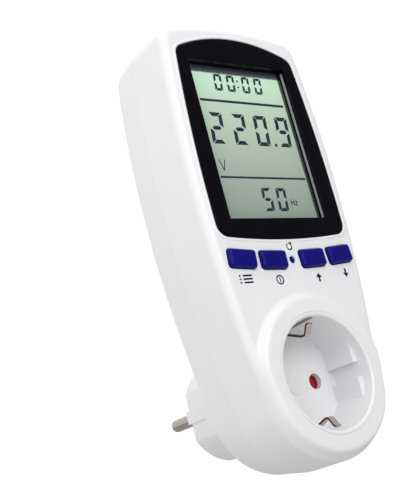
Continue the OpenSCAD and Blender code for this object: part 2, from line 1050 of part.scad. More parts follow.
module plug_lead() {
  yb = y_in_rear - 1.15;
  color("peru")
    lead([
      [pin_offset, y_pin_tail, 0],
      [pin_offset, y_pin_tail - 3, 0],
      [pin_offset, y_pin_tail - 3, plug_lead_z],
      [pin_offset, yb, plug_lead_z],
      [pin_offset, yb, plug_lead_end],
      [pin_offset, y_meter + board_thickness, plug_lead_end]]);
}

module left_plug_lead() {
  mirror([1, 0, 0])
    plug_lead();
}

module right_plug_lead() {
  plug_lead();
}

module socket_lead() {
  y_tag = y_pocket + 0.3 + sleeve_length - 3.4 + lead_radius;
  color("steelblue")
    lead([
      [pin_offset, y_tag, 4.6],
      [pin_offset, y_tag, 24],
      [pin_offset, y_meter - 4, 31],
      [pin_offset, y_meter - 4, 37],
      [pin_offset, y_meter, 37]]);
}

module left_socket_lead() {
  mirror([1, 0, 0])
    socket_lead();
}

module right_socket_lead() {
  socket_lead();
}

module metering_board() {
  color("darkgreen")
    difference() {
      block([-meter_half_width, y_meter, meter_bottom],
            [meter_half_width, y_meter + board_thickness, meter_top]);
      mirrored() {
        for (z = [meter_screw_low, meter_screw_high]) {
          rod([meter_screw_x, z], y_meter - 1, y_meter + board_thickness + 1, small_screw + 0.2);
        }
      }
    }
}

module meter_screws() {
  color("silver")
    mirrored() {
      for (z = [meter_screw_low, meter_screw_high]) {
        translate([meter_screw_x, 0, z])
          small_screws(y_meter, meter_screw_length, -1);
      }
    }
}

// Mains dropper capacitor.
module film_capacitor() {
  color("goldenrod")
    block([-24, y_meter - 11, 47], [-6, y_meter, 57]);
}

// Surge disc standing on the board.
module varistor() {
  color("royalblue")
    translate([10, y_meter - 7.6, 50])
      cylinder(h = 4, r = 6.6);
  color("silver")
    for (x = [7, 13]) {
      block([x - 0.4, y_meter - 3, 51.6], [x + 0.4, y_meter, 52.4]);
    }
}

module electrolytics() {
  color("midnightblue") {
    rod([-18, 67], y_meter - 12, y_meter, 5);
    rod([-6, 67], y_meter - 11, y_meter, 4);
  }
}

// Metering chip with two rows of legs.
module metering_chip() {
  color("black")
    block([-3.8, y_meter - 2.6, 78], [3.8, y_meter - 0.2, 93.4]);
  color("silver")
    mirrored() {
      for (i = [0:11]) {
        block([3.8, y_meter - 1.4, 78.5 + 1.27 * i], [5.2, y_meter, 78.9 + 1.27 * i]);
      }
    }
}

module crystal() {
  color("silver")
    block([9, y_meter - 3.6, 82], [13.6, y_meter, 92.8]);
}

// Fusible resistor lying on the board.
module fuse_resistor() {
  color("darkseagreen")
    translate([10, y_meter - 3, 66])
      rotate([0, 90, 0])
        cylinder(h = 11, r = 2.2, $fn = 32);
  color("silver")
    for (x = [8.8, 22]) {
      block([x - 0.4, y_meter - 3.3, 65.7], [x + 0.4, y_meter, 66.3]);
      block([min(x, 15.5), y_meter - 3.3, 65.7], [max(x, 15.5), y_meter - 2.7, 66.3]);
    }
}

// Bent resistance strip that senses the load current.
module current_shunt() {
  color("peru") {
    block([-3, y_meter - 5, 38], [3, y_meter - 4.2, 42]);
    for (x = [-3, 2.2]) {
      block([x, y_meter - 4.2, 38], [x + 0.8, y_meter, 42]);
    }
  }
}

// Three button cells in a sleeve that keep the readings.
module backup_battery() {
  color("limegreen")
    translate([-22, y_meter - 5.9, 101])
      rotate([0, 90, 0])
        cylinder(h = 16.5, r = 5.8);
}

// Pin headers of the ribbon cable, one on each board.
module board_headers() {
  color("ivory") {
    block([2, y_meter - 4, 100], [20, y_meter, 104]);
    block([2, y_board + board_thickness, 98], [20, y_board + board_thickness + 4, 102]);
  }
}

// Flat cable between the two boards.
module ribbon_cable() {
  y0 = y_board + board_thickness + 4;
  y1 = y_meter - 4;
  color("lightgray")
    translate([3.5, 0, 0])
      rotate([90, 0, 90])
        linear_extrude(height = 15)
          polygon([
            [y0, 99.6],
            [y0 + 3, 99.6],
            [y0 + 5, 101.6],
            [y1, 101.6],
            [y1, 102.4],
            [y0 + 4.67, 102.4],
            [y0 + 2.67, 100.4],
            [y0, 100.4]]);
}

// Four long screws that hold the shells together.
module case_screws() {
  color("silver")
    at_case_screws() {
      rod([0, 0], y_screw_seat - screw_length, y_screw_seat, screw_radius);
      rod([0, 0], y_screw_seat, y_screw_seat + head_height, head_radius);
    }
}

front_case();
rear_case();
bezel_frame();
lcd_glass();
lcd_reflector();
lcd_holder();
zebra_strips();
display_board();
driver_blob();
function_key();
cost_key();
up_key();
down_key();
reset_pin();
function_plunger();
cost_plunger();
up_plunger();
down_plunger();
reset_plunger();
switch_bodies();
display_screws();
socket_insert();
contact_carrier();
safety_shutter();
shutter_spring();
left_contact();
right_contact();
upper_earth_clip();
lower_earth_clip();
upper_earth_strip();
lower_earth_strip();
earth_link();
left_pin();
right_pin();
pin_retainer();
left_plug_lead();
right_plug_lead();
left_socket_lead();
right_socket_lead();
metering_board();
meter_screws();
film_capacitor();
varistor();
electrolytics();
metering_chip();
crystal();
fuse_resistor();
current_shunt();
backup_battery();
board_headers();
ribbon_cable();
case_screws();
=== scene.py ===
"""Looks for the plug-in power meter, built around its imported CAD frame.

Lengths are millimetres until a mesh is made; MM turns them into Blender's metres.
X is to the right, Y points into the wall and Z is up, as in the CAD frame.
"""
import json
import math

import bmesh
import bpy
from mathutils import Matrix, Vector
from mathutils.geometry import delaunay_2d_cdt


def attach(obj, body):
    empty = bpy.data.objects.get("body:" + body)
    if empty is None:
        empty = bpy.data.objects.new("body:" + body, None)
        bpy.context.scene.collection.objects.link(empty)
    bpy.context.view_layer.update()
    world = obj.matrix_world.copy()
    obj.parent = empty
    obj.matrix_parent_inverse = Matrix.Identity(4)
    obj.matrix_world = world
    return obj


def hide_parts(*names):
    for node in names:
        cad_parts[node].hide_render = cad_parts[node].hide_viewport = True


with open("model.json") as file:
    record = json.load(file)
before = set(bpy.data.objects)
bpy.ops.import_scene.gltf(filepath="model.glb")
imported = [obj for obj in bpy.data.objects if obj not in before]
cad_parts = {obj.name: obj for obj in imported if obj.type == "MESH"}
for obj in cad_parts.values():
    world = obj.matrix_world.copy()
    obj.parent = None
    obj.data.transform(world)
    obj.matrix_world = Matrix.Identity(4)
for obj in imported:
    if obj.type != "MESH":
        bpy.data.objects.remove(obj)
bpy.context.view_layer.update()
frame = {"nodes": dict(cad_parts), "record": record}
NODES = frame["nodes"]
MM = 0.001
HOUSING = "housing"

# ---------------------------------------------------------------- sizes
Y_RIM = -61.4
Y_FACE = Y_RIM + 2.4
Y_SEAM = Y_RIM + 21
Y_REAR = Y_RIM + 42
WALL = 2.2
Y_IN_FRONT = Y_FACE + WALL
Y_FLOOR = Y_RIM + 17.8
Y_FLOOR_BACK = Y_FLOOR + 2.2
Y_LCD = Y_FACE + 3.3
Y_BOARD = Y_FACE + 9.6

# The CAD has 35.4. The finer arcs here would bulge a little past its coarser ones.
HALF_WIDTH = 35.38
WIDE_HEIGHT = 77.5
SIDE_RADIUS = 417
CASE_TOP = 133.2
CASE_BOTTOM = -29.6
TOP_CORNER = 7
TOP_RADIUS = 150
BOTTOM_RADIUS = 29
BOTTOM_CORNER = 24
FRONT_FILLET = 3.2
FRONT_DRAFT = 0.5
REAR_FILLET = 10.5
REAR_DRAFT = 1.2
REAR_CORNER = 7
REAR_END_CORNER = 4
SEAM_BEVEL = 0.3
TONGUE_OUTER = 1.25
TONGUE_DEPTH = 2
TONGUE_GAP = 0.15
INNER_DRAFT = WALL + FRONT_DRAFT
INNER_CORNER = 3.6

TURRET_FLAT = 25.2
TURRET_SHOULDER = 2.4
TURRET_COVE = 27.2
TURRET_FOOT = 28.8
INSERT_RADIUS = 20.9
INSERT_SEAM = 0.12
RIM_SWELL = 0.06
INSERT_FLANGE = 24.6
FLANGE_THICKNESS = 1.5
FLANGE_HOLE = INSERT_FLANGE + 0.3
RECESS_RADIUS = 19.5
FLOOR_RADIUS = 18.9
CHAMFER = 0.9
RECESS_FLAT = 16.8
FLAT_START = 4.5
GROOVE_HALF = 2.65
SLOT_HALF = 1.8
SLOT_START = 2.2
SLOT_INNER = 16.6
SLOT_OUTER = 26
PIVOT_DISC = 3.8
PIVOT_DISC_HEIGHT = 0.35
HOLE_RADIUS = 2.85
PIN_OFFSET = 9.5

CLIP_HALF = 1.3
CLIP_THICKNESS = 0.8
CLIP_NOSE = 13.9
STRAP_INNER = 17.2
# Bends of an earth clip from root to front end: depth behind the rim, distance from the axis.
CLIP_BENDS = ((19.6, STRAP_INNER), (16.2, STRAP_INNER), (7.4, CLIP_NOSE), (5.4, CLIP_NOSE),
              (3.8, STRAP_INNER - 0.4), (2.9, STRAP_INNER + 0.2))

BEZEL_PROUD = 0.1
BEZEL_GAP = 0.12
BEZEL_PLATE = 1.2
BEZEL_COLLAR = 1.4
BEZEL_HALF = 30.1
BEZEL_WIDE_HEIGHT = 68
BEZEL_SIDE_RADIUS = 520
BEZEL_BOTTOM = 48.2
BEZEL_BOTTOM_RADIUS = 240
BEZEL_TOP = 127.6
BEZEL_TOP_RADIUS = 64
BEZEL_CORNER = 4.6
COLLAR_HOLE = BEZEL_COLLAR + 0.25
WINDOW_HALF = 22.8
WINDOW_LOW = 56.2
WINDOW_HIGH = 117.4

KEY_X = {"function": -22.9, "cost": -9.2, "up": 9.2, "down": 22.9}
KEY_ARC_RADIUS = 258
KEY_ARC_LOW = 40.6
KEY_WIDTH = 11.2
KEY_HEIGHT = 6.4
KEY_CORNER = 1.1
KEY_GAP = 0.3
KEY_PROUD = 1.7
KEY_BEVEL = 0.55
KEY_FLANGE = 0.9
KEY_FLANGE_THICKNESS = 1
KEY_CROWN = 0.12
KEY_STEM = 3
SWITCH_HEIGHT = 3.1
PLUNGER_PROUD = 0.85
RESET_HOLE = 1.4

SCREW_LOW = (21, 24)
SCREW_HIGH = (20, 124.5)
SCREW_POST = 4.2
SCREW_RECESS = 3
SCREW_RECESS_DEPTH = 13

PLUG_RADIUS = 18.5
PLUG_FLAT = 16.3
PLUG_EDGE = 2
PLUG_HOLLOW = 14
PLUG_END_WALL = 3
PIN_HOLE = 2.72
STRIP_SLOT_HALF = 3.3
STRIP_SLOT_INNER = 15
STRIP_SLOT_OUTER = 20
STRIP_SLOT_LENGTH = 17.2
RIB_HALF = 2.3
# Sections of the plug's rib: how far it stands out of the flat, and its depth.
RIB_SECTIONS = ((0.02, -10.4), (0.65, -7.2), (0.65, -0.02))


# ---------------------------------------------------------------- outlines
def circles_meet(p0, r0, p1, r1, side):
    """Where two circles cross, on one side of the line between their centres."""
    d = p1 - p0
    a = (r0 * r0 - r1 * r1 + d.length_squared) / (2 * d.length)
    h = math.sqrt(r0 * r0 - a * a)
    u = d.normalized()
    return p0 + a * u + side * h * Vector((-u.y, u.x))


def heading(a, b):
    return math.atan2(b.y - a.y, b.x - a.x)


def arc(centre, radius, a0, a1, steps):
    """Points along an arc, after its first one."""
    turn = (a1 - a0) / steps
    return [centre + radius * Vector((math.cos(a0 + turn * i), math.sin(a0 + turn * i)))
            for i in range(1, steps + 1)]


def bowed(half, wide_z, side_r, bottom, top, inset, steps):
    """Closed outline of four bowed sides and four corner arcs, as (x, z) points.

    bottom and top are (height, arc radius, corner radius).
    """
    zb, rb, kb = bottom
    zt, rt, kt = top
    side = Vector((half - side_r, wide_z))
    low = Vector((0, zb + rb))
    high = Vector((0, zt - rt))
    c_low = circles_meet(side, side_r - inset - kb, low, rb - inset - kb, -1)
    c_high = circles_meet(side, side_r - inset - kt, high, rt - inset - kt, 1)
    n_low, n_corner, n_side, n_top = steps
    right = [Vector((0, zb + inset))]
    right += arc(low, rb - inset, -math.pi / 2, heading(low, c_low), n_low)
    right += arc(c_low, kb, heading(low, c_low), heading(side, c_low), n_corner)
    right += arc(side, side_r - inset, heading(side, c_low), heading(side, c_high), n_side)
    right += arc(c_high, kt, heading(side, c_high), heading(high, c_high), n_corner)
    right += arc(high, rt - inset, heading(high, c_high), math.pi / 2, n_top)
    left = [Vector((-p.x, p.y)) for p in reversed(right[1:-1])]
    return right + left


# Arc steps of an outline's bottom, corners, sides and top.
CASE_STEPS = (26, 18, 70, 26)
BEZEL_STEPS = (16, 12, 30, 20)


def case_outline(inset, corner):
    bottom = (CASE_BOTTOM, BOTTOM_RADIUS, BOTTOM_CORNER - inset)
    top = (CASE_TOP, TOP_RADIUS, corner)
    return bowed(HALF_WIDTH, WIDE_HEIGHT, SIDE_RADIUS, bottom, top, inset, CASE_STEPS)


def bezel_outline(grow):
    bottom = (BEZEL_BOTTOM - grow, BEZEL_BOTTOM_RADIUS + grow, BEZEL_CORNER + grow)
    top = (BEZEL_TOP + grow, BEZEL_TOP_RADIUS + grow, BEZEL_CORNER + grow)
    return bowed(BEZEL_HALF + grow, BEZEL_WIDE_HEIGHT, BEZEL_SIDE_RADIUS + grow, bottom, top, 0,
                 BEZEL_STEPS)


def rounded_box(half_x, half_z, corner, steps=8):
    """Outline of a rectangle with round corners, centred on the origin."""
    points = []
    for i, (sx, sz) in enumerate(((1, -1), (1, 1), (-1, 1), (-1, -1))):
        centre = Vector((sx * (half_x - corner), sz * (half_z - corner)))
        start = -math.pi / 2 + i * math.pi / 2
        points.append(centre + corner * Vector((math.cos(start), math.sin(start))))
        points += arc(centre, corner, start, start + math.pi / 2, steps)
    return points


def circle(radius, steps=96, centre=(0, 0)):
    return [Vector(centre) + radius * Vector((math.cos(a), math.sin(a)))
            for a in (2 * math.pi * i / steps for i in range(steps))]


def window_outline(grow):
    x, low, high = WINDOW_HALF + grow, WINDOW_LOW - grow, WINDOW_HIGH + grow
    corners = ((x, low), (x, high), (-x, high), (-x, low))
    return [Vector(c) for c in corners]


def key_place(x, points):
    """Moves an outline to a key's place on the shallow key arc."""
    tilt = math.asin(x / KEY_ARC_RADIUS)
    c, s = math.cos(tilt), math.sin(tilt)
    z = KEY_ARC_LOW + x * x / (2 * KEY_ARC_RADIUS)
    return [Vector((x + c * p.x - s * p.y, z + s * p.x + c * p.y)) for p in points]


def key_outline(x, grow):
    return key_place(x, rounded_box(KEY_WIDTH / 2 + grow, KEY_HEIGHT / 2 + grow,
                                    KEY_CORNER + grow))


def inside(p, outline):
    """True if p is inside a closed outline."""
    hit = False
    for a, b in zip(outline, outline[1:] + outline[:1]):
        if (a.y > p.y) != (b.y > p.y):
            if p.x < a.x + (p.y - a.y) * (b.x - a.x) / (b.y - a.y):
                hit = not hit
    return hit


# ---------------------------------------------------------------- meshes
class Shape:
    """Collects rings and faces in millimetres, then makes one Blender mesh."""

    def __init__(self):
        self.points = []
        self.faces = []

    def ring(self, outline, y):
        """Adds an (x, z) outline at depth y, a number or a function of the point."""
        first = len(self.points)
        for p in outline:
            depth = y(p) if callable(y) else y
            self.points.append((p.x, depth, p.y))
        return list(range(first, len(self.points)))

    def join(self, a, b):
        n = len(a)
        for i in range(n):
            j = (i + 1) % n
            self.faces.append((a[i], a[j], b[j], b[i]))

    def loft(self, rings):
        for a, b in zip(rings, rings[1:]):
            self.join(a, b)

    def cap(self, ring):
        self.faces.append(tuple(ring))

    def sheet(self, outer, holes, y, extra=()):
        """Fills the flat area between an outline and its holes with triangles."""
        loops = [list(outer)] + [list(h) for h in holes]
        flat = [p for loop in loops for p in loop]
        edges, first = [], 0
        for loop in loops:
            n = len(loop)
            edges += [(first + i, first + (i + 1) % n) for i in range(n)]
            first += n
        flat += [p for p in extra
                 if inside(p, loops[0]) and not any(inside(p, h) for h in loops[1:])]
        points, _, faces, *_ = delaunay_2d_cdt(flat, edges, [], 1, 1e-6, False)
        base = len(self.points)
        for p in points:
            self.points.append((p.x, y(p) if callable(y) else y, p.y))
        for f in faces:
            middle = sum((points[i] for i in f), Vector((0, 0))) / len(f)
            if inside(middle, loops[0]) and not any(inside(middle, h) for h in loops[1:]):
                self.faces.append(tuple(base + i for i in f))

    def lathe(self, profile, steps=96, closed=False):
        """Turns a (radius, y) profile about Y; radius 0 closes an end."""
        rings = []
        for r, y in profile:
            if r < 1e-6:
                self.points.append((0, y, 0))
                rings.append([len(self.points) - 1] * steps)
            else:
                rings.append(self.ring(circle(r, steps), y))
        if closed:
            rings.append(rings[0])
        for a, b in zip(rings, rings[1:]):
            for i in range(steps):
                j = (i + 1) % steps
                face = []
                for v in (a[i], a[j], b[j], b[i]):
                    if v not in face:
                        face.append(v)
                if len(face) > 2:
                    self.faces.append(tuple(face))

    def extrude_x(self, profile, x0, x1):
        """Extrudes a closed (y, z) profile along X."""
        n = len(profile)
        first = len(self.points)
        for x in (x0, x1):
            self.points += [(x, y, z) for y, z in profile]
        a = list(range(first, first + n))
        b = list(range(first + n, first + 2 * n))
        self.join(a, b)
        self.cap(a)
        self.cap(b)

    def prism(self, outline, y0, y1):
        a, b = self.ring(outline, y0), self.ring(outline, y1)
        self.join(a, b)
        self.cap(a)
        self.cap(b)

    def mesh(self, name):
        data = bpy.data.meshes.new(name)
        data.from_pydata([Vector(p) * MM for p in self.points], [], self.faces)
        work = bmesh.new()
        work.from_mesh(data)
        bmesh.ops.remove_doubles(work, verts=work.verts, dist=2e-6)
        bmesh.ops.dissolve_degenerate(work, edges=work.edges, dist=1e-7)
        bmesh.ops.recalc_face_normals(work, faces=work.faces)
        work.to_mesh(data)
        work.free()
        return data


def piece(name, shape, body, material, replaces=(), crease=30):
    """Makes a piece that rides on a body and stands for CAD nodes."""
    data = shape.mesh(name) if isinstance(shape, Shape) else shape
    data.shade_smooth()
    data.set_sharp_from_angle(angle=math.radians(crease))
    obj = bpy.data.objects.new(name, data)
    bpy.context.scene.collection.objects.link(obj)
    data.materials.clear()
    data.materials.append(material)
    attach(obj, body)
    if replaces:
        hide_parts(*replaces)
    return obj


def combined(name, base, steps):
    """Applies exact booleans: steps is a list of (operation, Shape)."""
    obj = bpy.data.objects.new(name, base.mesh(name))
    bpy.context.scene.collection.objects.link(obj)
    tools = []
    for i, (operation, shape) in enumerate(steps):
        tool = bpy.data.objects.new(f"{name}_tool_{i}", shape.mesh(f"{name}_tool_{i}"))
        bpy.context.scene.collection.objects.link(tool)
        tools.append(tool)
        mod = obj.modifiers.new(f"step_{i}", "BOOLEAN")
        mod.operation, mod.object, mod.solver = operation, tool, "EXACT"
    graph = bpy.context.evaluated_depsgraph_get()
    data = bpy.data.meshes.new_from_object(obj.evaluated_get(graph))
    for o in [obj] + tools:
        old = o.data
        bpy.data.objects.remove(o)
        bpy.data.meshes.remove(old)
    data.name = name
    return data


def edge_round(obj, width, angle=40, segments=3):
    """Rounds the sharp edges of a piece and keeps its flat faces flat."""
    mod = obj.modifiers.new("edges", "BEVEL")
    mod.width = width * MM
    mod.segments = segments
    mod.limit_method = "ANGLE"
    mod.angle_limit = math.radians(angle)
    mod.harden_normals = True
    return obj


# ---------------------------------------------------------------- materials
class Paint:
    """A Principled material with its node tree at hand."""

    def __init__(self, name, colour, rough, metal=0.0, specular=0.5, coat=0.0, coat_rough=0.1):
        self.material = bpy.data.materials.new(name)
        self.material.use_nodes = True
        self.tree = self.material.node_tree
        self.shader = self.tree.nodes["Principled BSDF"]
        self.set("Base Color", (*colour, 1))
        self.set("Roughness", rough)
        self.set("Metallic", metal)
        self.set("Specular IOR Level", specular)
        self.set("Coat Weight", coat)
        self.set("Coat Roughness", coat_rough)
        self.place = self.node("ShaderNodeTexCoord").outputs["Object"]

    def set(self, socket, value):
        self.shader.inputs[socket].default_value = value

    def node(self, kind, **values):
        made = self.tree.nodes.new(kind)
        for key, value in values.items():
            setattr(made, key, value)
        return made

    def link(self, out, into):
        self.tree.links.new(out, into)

    def noise(self, scale, detail=3.0, stretch=None):
        made = self.node("ShaderNodeTexNoise")
        made.inputs["Scale"].default_value = scale
        made.inputs["Detail"].default_value = detail
        source = self.place
        if stretch:
            mapping = self.node("ShaderNodeMapping")
            mapping.inputs["Scale"].default_value = stretch
            self.link(self.place, mapping.inputs["Vector"])
            source = mapping.outputs["Vector"]
        self.link(source, made.inputs["Vector"])
        return made.outputs["Fac"]

    def ramp(self, value, stops):
        made = self.node("ShaderNodeValToRGB")
        line = made.color_ramp
        while len(line.elements) < len(stops):
            line.elements.new(0.5)
        for element, (at, colour) in zip(line.elements, stops):
            element.position = at
            element.color = (*colour, 1)
        self.link(value, made.inputs["Fac"])
        return made.outputs["Color"]

    def spread(self, value, low, high):
        made = self.node("ShaderNodeMapRange")
        made.inputs["To Min"].default_value = low
        made.inputs["To Max"].default_value = high
        self.link(value, made.inputs["Value"])
        return made.outputs["Result"]

    def mottle(self, scale, colour, amount, rough_low, rough_high):
        """Small drifts of colour and roughness, as moulded and plated parts have."""
        value = self.noise(scale)
        dark = [c * (1 - amount) for c in colour]
        light = [min(1, c * (1 + amount)) for c in colour]
        self.link(self.ramp(value, [(0.3, dark), (0.7, light)]), self.shader.inputs["Base Color"])
        self.link(self.spread(value, rough_low, rough_high), self.shader.inputs["Roughness"])

    def grain(self, scale, strength, distance, stretch=None):
        """A fine surface texture as a bump."""
        bump = self.node("ShaderNodeBump")
        bump.inputs["Strength"].default_value = strength
        bump.inputs["Distance"].default_value = distance * MM
        self.link(self.noise(scale, 2.0, stretch), bump.inputs["Height"])
        self.link(bump.outputs["Normal"], self.shader.inputs["Normal"])


def moulded(name, colour, rough=0.4, grain=0.12, specular=0.5, amount=0.02):
    paint = Paint(name, colour, rough, specular=specular)
    paint.mottle(60, colour, amount, rough - 0.04, rough + 0.04)
    paint.grain(2600, grain, 0.02)
    return paint.material


def metal(name, colour, rough=0.28, brushed=(1, 1, 1), grain=0.1):
    paint = Paint(name, colour, rough, metal=1.0)
    paint.mottle(300, colour, 0.08, rough - 0.06, rough + 0.08)
    paint.grain(1500, grain, 0.01, brushed)
    return paint.material


def sheared_metal(name, face, edge, rough):
    """Plated strip whose cut edges, which face along X, are darker than its faces."""
    paint = Paint(name, face, rough, metal=1.0)
    paint.link(paint.spread(paint.noise(300), rough - 0.05, rough + 0.08),
               paint.shader.inputs["Roughness"])
    split = paint.node("ShaderNodeSeparateXYZ")
    paint.link(paint.node("ShaderNodeTexCoord").outputs["Normal"], split.inputs["Vector"])
    across = paint.node("ShaderNodeMath", operation="ABSOLUTE")
    paint.link(split.outputs["X"], across.inputs[0])
    paint.link(paint.ramp(across.outputs["Value"], [(0.55, face), (0.8, edge)]),
               paint.shader.inputs["Base Color"])
    return paint.material


def circuit_board(name):
    """Green solder mask with a faint pattern of tracks."""
    paint = Paint(name, (0.01, 0.13, 0.04), 0.35, specular=0.5)
    track = paint.node("ShaderNodeTexBrick")
    track.inputs["Scale"].default_value = 260
    track.inputs["Color1"].default_value = (0.01, 0.13, 0.04, 1)
    track.inputs["Color2"].default_value = (0.012, 0.16, 0.05, 1)
    track.inputs["Mortar"].default_value = (0.03, 0.26, 0.09, 1)
    turned = paint.node("ShaderNodeMapping")
    turned.inputs["Rotation"].default_value = (math.pi / 2, 0, 0)
    paint.link(paint.place, turned.inputs["Vector"])
    paint.link(turned.outputs["Vector"], track.inputs["Vector"])
    paint.link(track.outputs["Color"], paint.shader.inputs["Base Color"])
    return paint.material


# Shade along the panel's right edge: its width, how softly it starts and how dark it is.
SHADE_WIDTH = 1.5
SHADE_FADE = 0.5
SHADE_LEVEL = 0.12
RAGGED_HEIGHT = 0.9
# Panel colours from the window's bottom (0) to its top (1), where the shade begins.
PANEL_STOPS = ((0.0, (0.265, 0.335, 0.285)), (0.35, (0.375, 0.455, 0.39)),
               (0.75, (0.50, 0.65, 0.51)), (0.958, (0.62, 0.89, 0.66)),
               (0.965, (0.085, 0.105, 0.115)), (1.0, (0.03, 0.035, 0.045)))


def display_green(name):
    """Panel colour: green, greyer below, in dark shade along its top and right edges."""
    paint = Paint(name, (0.5, 0.7, 0.5), 0.32, specular=0.25)
    split = paint.node("ShaderNodeSeparateXYZ")
    paint.link(paint.place, split.inputs["Vector"])
    height = paint.node("ShaderNodeMapRange")
    height.inputs["From Min"].default_value = WINDOW_LOW * MM
    height.inputs["From Max"].default_value = WINDOW_HIGH * MM
    ragged = paint.node("ShaderNodeMath", operation="MULTIPLY_ADD")
    paint.link(paint.noise(1400, 4.0, (1, 1, 0.5)), ragged.inputs[0])
    ragged.inputs[1].default_value = RAGGED_HEIGHT * MM
    paint.link(split.outputs["Z"], ragged.inputs[2])
    paint.link(ragged.outputs["Value"], height.inputs["Value"])
    shade = paint.node("ShaderNodeMapRange", interpolation_type="SMOOTHSTEP")
    shade.inputs["From Min"].default_value = (WINDOW_HALF - SHADE_WIDTH) * MM
    shade.inputs["From Max"].default_value = (WINDOW_HALF - SHADE_WIDTH + SHADE_FADE) * MM
    shade.inputs["To Min"].default_value = 1
    shade.inputs["To Max"].default_value = SHADE_LEVEL
    paint.link(split.outputs["X"], shade.inputs["Value"])
    shaded = paint.node("ShaderNodeVectorMath", operation="SCALE")
    paint.link(paint.ramp(height.outputs["Result"], PANEL_STOPS), shaded.inputs["Vector"])
    paint.link(shade.outputs["Result"], shaded.inputs["Scale"])
    paint.link(shaded.outputs["Vector"], paint.shader.inputs["Base Color"])
    return paint.material


WHITE = (0.81, 0.81, 0.83)
SHELL = moulded("shell_plastic", WHITE, rough=0.36, grain=0.05, amount=0.008)
INSERT = moulded("insert_plastic", WHITE, rough=0.30, grain=0.04, amount=0.008)
SURROUND = moulded("surround_plastic", (0.002, 0.002, 0.004), rough=0.14, grain=0.0,
                   specular=0.12, amount=0.1)
KEY = moulded("key_plastic", (0.002, 0.002, 0.165), rough=0.42, grain=0.10, specular=0.16,
              amount=0.06)
# The shutter's own red, darkened further as painted shade of the deep hole behind the recess
# floor.
SHUTTER_RED_AND_SHADE = moulded("shutter_plastic_painted_shade", (0.33, 0.006, 0.024), rough=0.4, specular=0.3, amount=0.05)
INK = moulded("label_ink", (0.012, 0.012, 0.035), rough=0.6, specular=0.2, amount=0.1)
SEGMENT = moulded("segment_ink", (0.018, 0.032, 0.05), rough=0.5, specular=0.1, amount=0.12)
# Holder plastic darkened to grey: painted shade on the window's right wall.
SHADED_HOLDER_EDGE = moulded("holder_edge_painted_shade", (0.36, 0.35, 0.37), rough=0.35, amount=0.12)
DISPLAY = display_green("display_panel")
PIN = metal("pin_nickel", (0.43, 0.385, 0.345), rough=0.24, brushed=(1, 0.2, 1))
NICKEL = metal("strip_nickel", (0.50, 0.43, 0.37), rough=0.24, brushed=(0.2, 1, 1))
CLIP = sheared_metal("clip_nickel", (0.62, 0.56, 0.50), (0.13, 0.06, 0.07), rough=0.24)

SLOT_MATERIALS = {
    "shell": SHELL,
    "insert": INSERT,
    "surround": SURROUND,
    "lcd": DISPLAY,
    "film": metal("reflector_film", (0.75, 0.76, 0.74), rough=0.3),
    "inner_white": moulded("holder_plastic", (0.78, 0.78, 0.75)),
    "rubber": moulded("strip_rubber", (0.05, 0.05, 0.055), rough=0.7),
    "board": circuit_board("circuit_board"),
    "black_part": moulded("black_resin", (0.02, 0.02, 0.02), rough=0.35),
    "key": KEY,
    "plunger": moulded("plunger_plastic", (0.09, 0.09, 0.09)),
    "switch": moulded("switch_plastic", (0.2, 0.2, 0.22)),
    "steel": metal("zinc_steel", (0.62, 0.62, 0.64)),
    "carrier": moulded("carrier_plastic", (0.74, 0.74, 0.71)),
    "shutter": SHUTTER_RED_AND_SHADE,
    "spring": metal("spring_wire", (0.6, 0.6, 0.62)),
    "brass": metal("pressed_brass", (0.78, 0.58, 0.27)),
    "nickel": NICKEL,
    "pin": PIN,
    "lead_brown": moulded("brown_insulation", (0.16, 0.06, 0.025), rough=0.5),
    "lead_blue": moulded("blue_insulation", (0.02, 0.09, 0.36), rough=0.5),
    "capacitor": moulded("capacitor_box", (0.60, 0.42, 0.08)),
    "varistor": moulded("varistor_resin", (0.02, 0.07, 0.33), rough=0.3),
    "can": moulded("capacitor_sleeve", (0.01, 0.015, 0.06), rough=0.25),
    "resistor": moulded("resistor_lacquer", (0.16, 0.36, 0.24), rough=0.5),
    "shunt": metal("shunt_alloy", (0.62, 0.40, 0.28)),
    "battery": moulded("battery_sleeve", (0.03, 0.36, 0.06), rough=0.25),
    "header": moulded("header_plastic", (0.76, 0.73, 0.60)),
    "ribbon": moulded("ribbon_insulation", (0.42, 0.42, 0.43), rough=0.5),
}


def dress_nodes():
    """Gives every CAD node the material of its slot."""
    for part in frame["record"]["subparts"]:
        data = NODES[part["node"]].data
        data.materials.clear()
        data.materials.append(SLOT_MATERIALS[part["material_slot"]])


# ---------------------------------------------------------------- front shell
def turret_rise(r):
    """How far the raised socket ring stands in front of the face at radius r."""
    if r <= TURRET_FLAT:
        return TURRET_SHOULDER
    if r <= TURRET_COVE:
        return math.sqrt(TURRET_SHOULDER ** 2 - (r - TURRET_FLAT) ** 2)
    if r < TURRET_FOOT:
        top = math.sqrt(TURRET_SHOULDER ** 2 - (TURRET_COVE - TURRET_FLAT) ** 2)
        t = (r - TURRET_COVE) / (TURRET_FOOT - TURRET_COVE)
        return top * (1 - t) ** 2
    return 0.0


def face_depth(p):
    return Y_FACE - turret_rise(p.length)


def holes_in_face(grow):
    """The key windows and the reset hole, each drawn out by grow."""
    holes = [key_outline(x, KEY_GAP + grow) for x in KEY_X.values()]
    holes.append(circle(RESET_HOLE + grow, 40, (0, KEY_ARC_LOW)))
    return holes


# Each rim is a list of (growth of the outline, depth behind the face).
HOLE_RIM = ((0.28, 0), (0.17, 0.02), (0.06, 0.09), (0, 0.22))
BEZEL_RIM = ((1.15, 0), (1.0, -0.06), (0.85, -0.19), (0.65, -0.25), (0.35, -0.25),
             (0.15, -0.19), (0.03, -0.07), (0, 0.1))


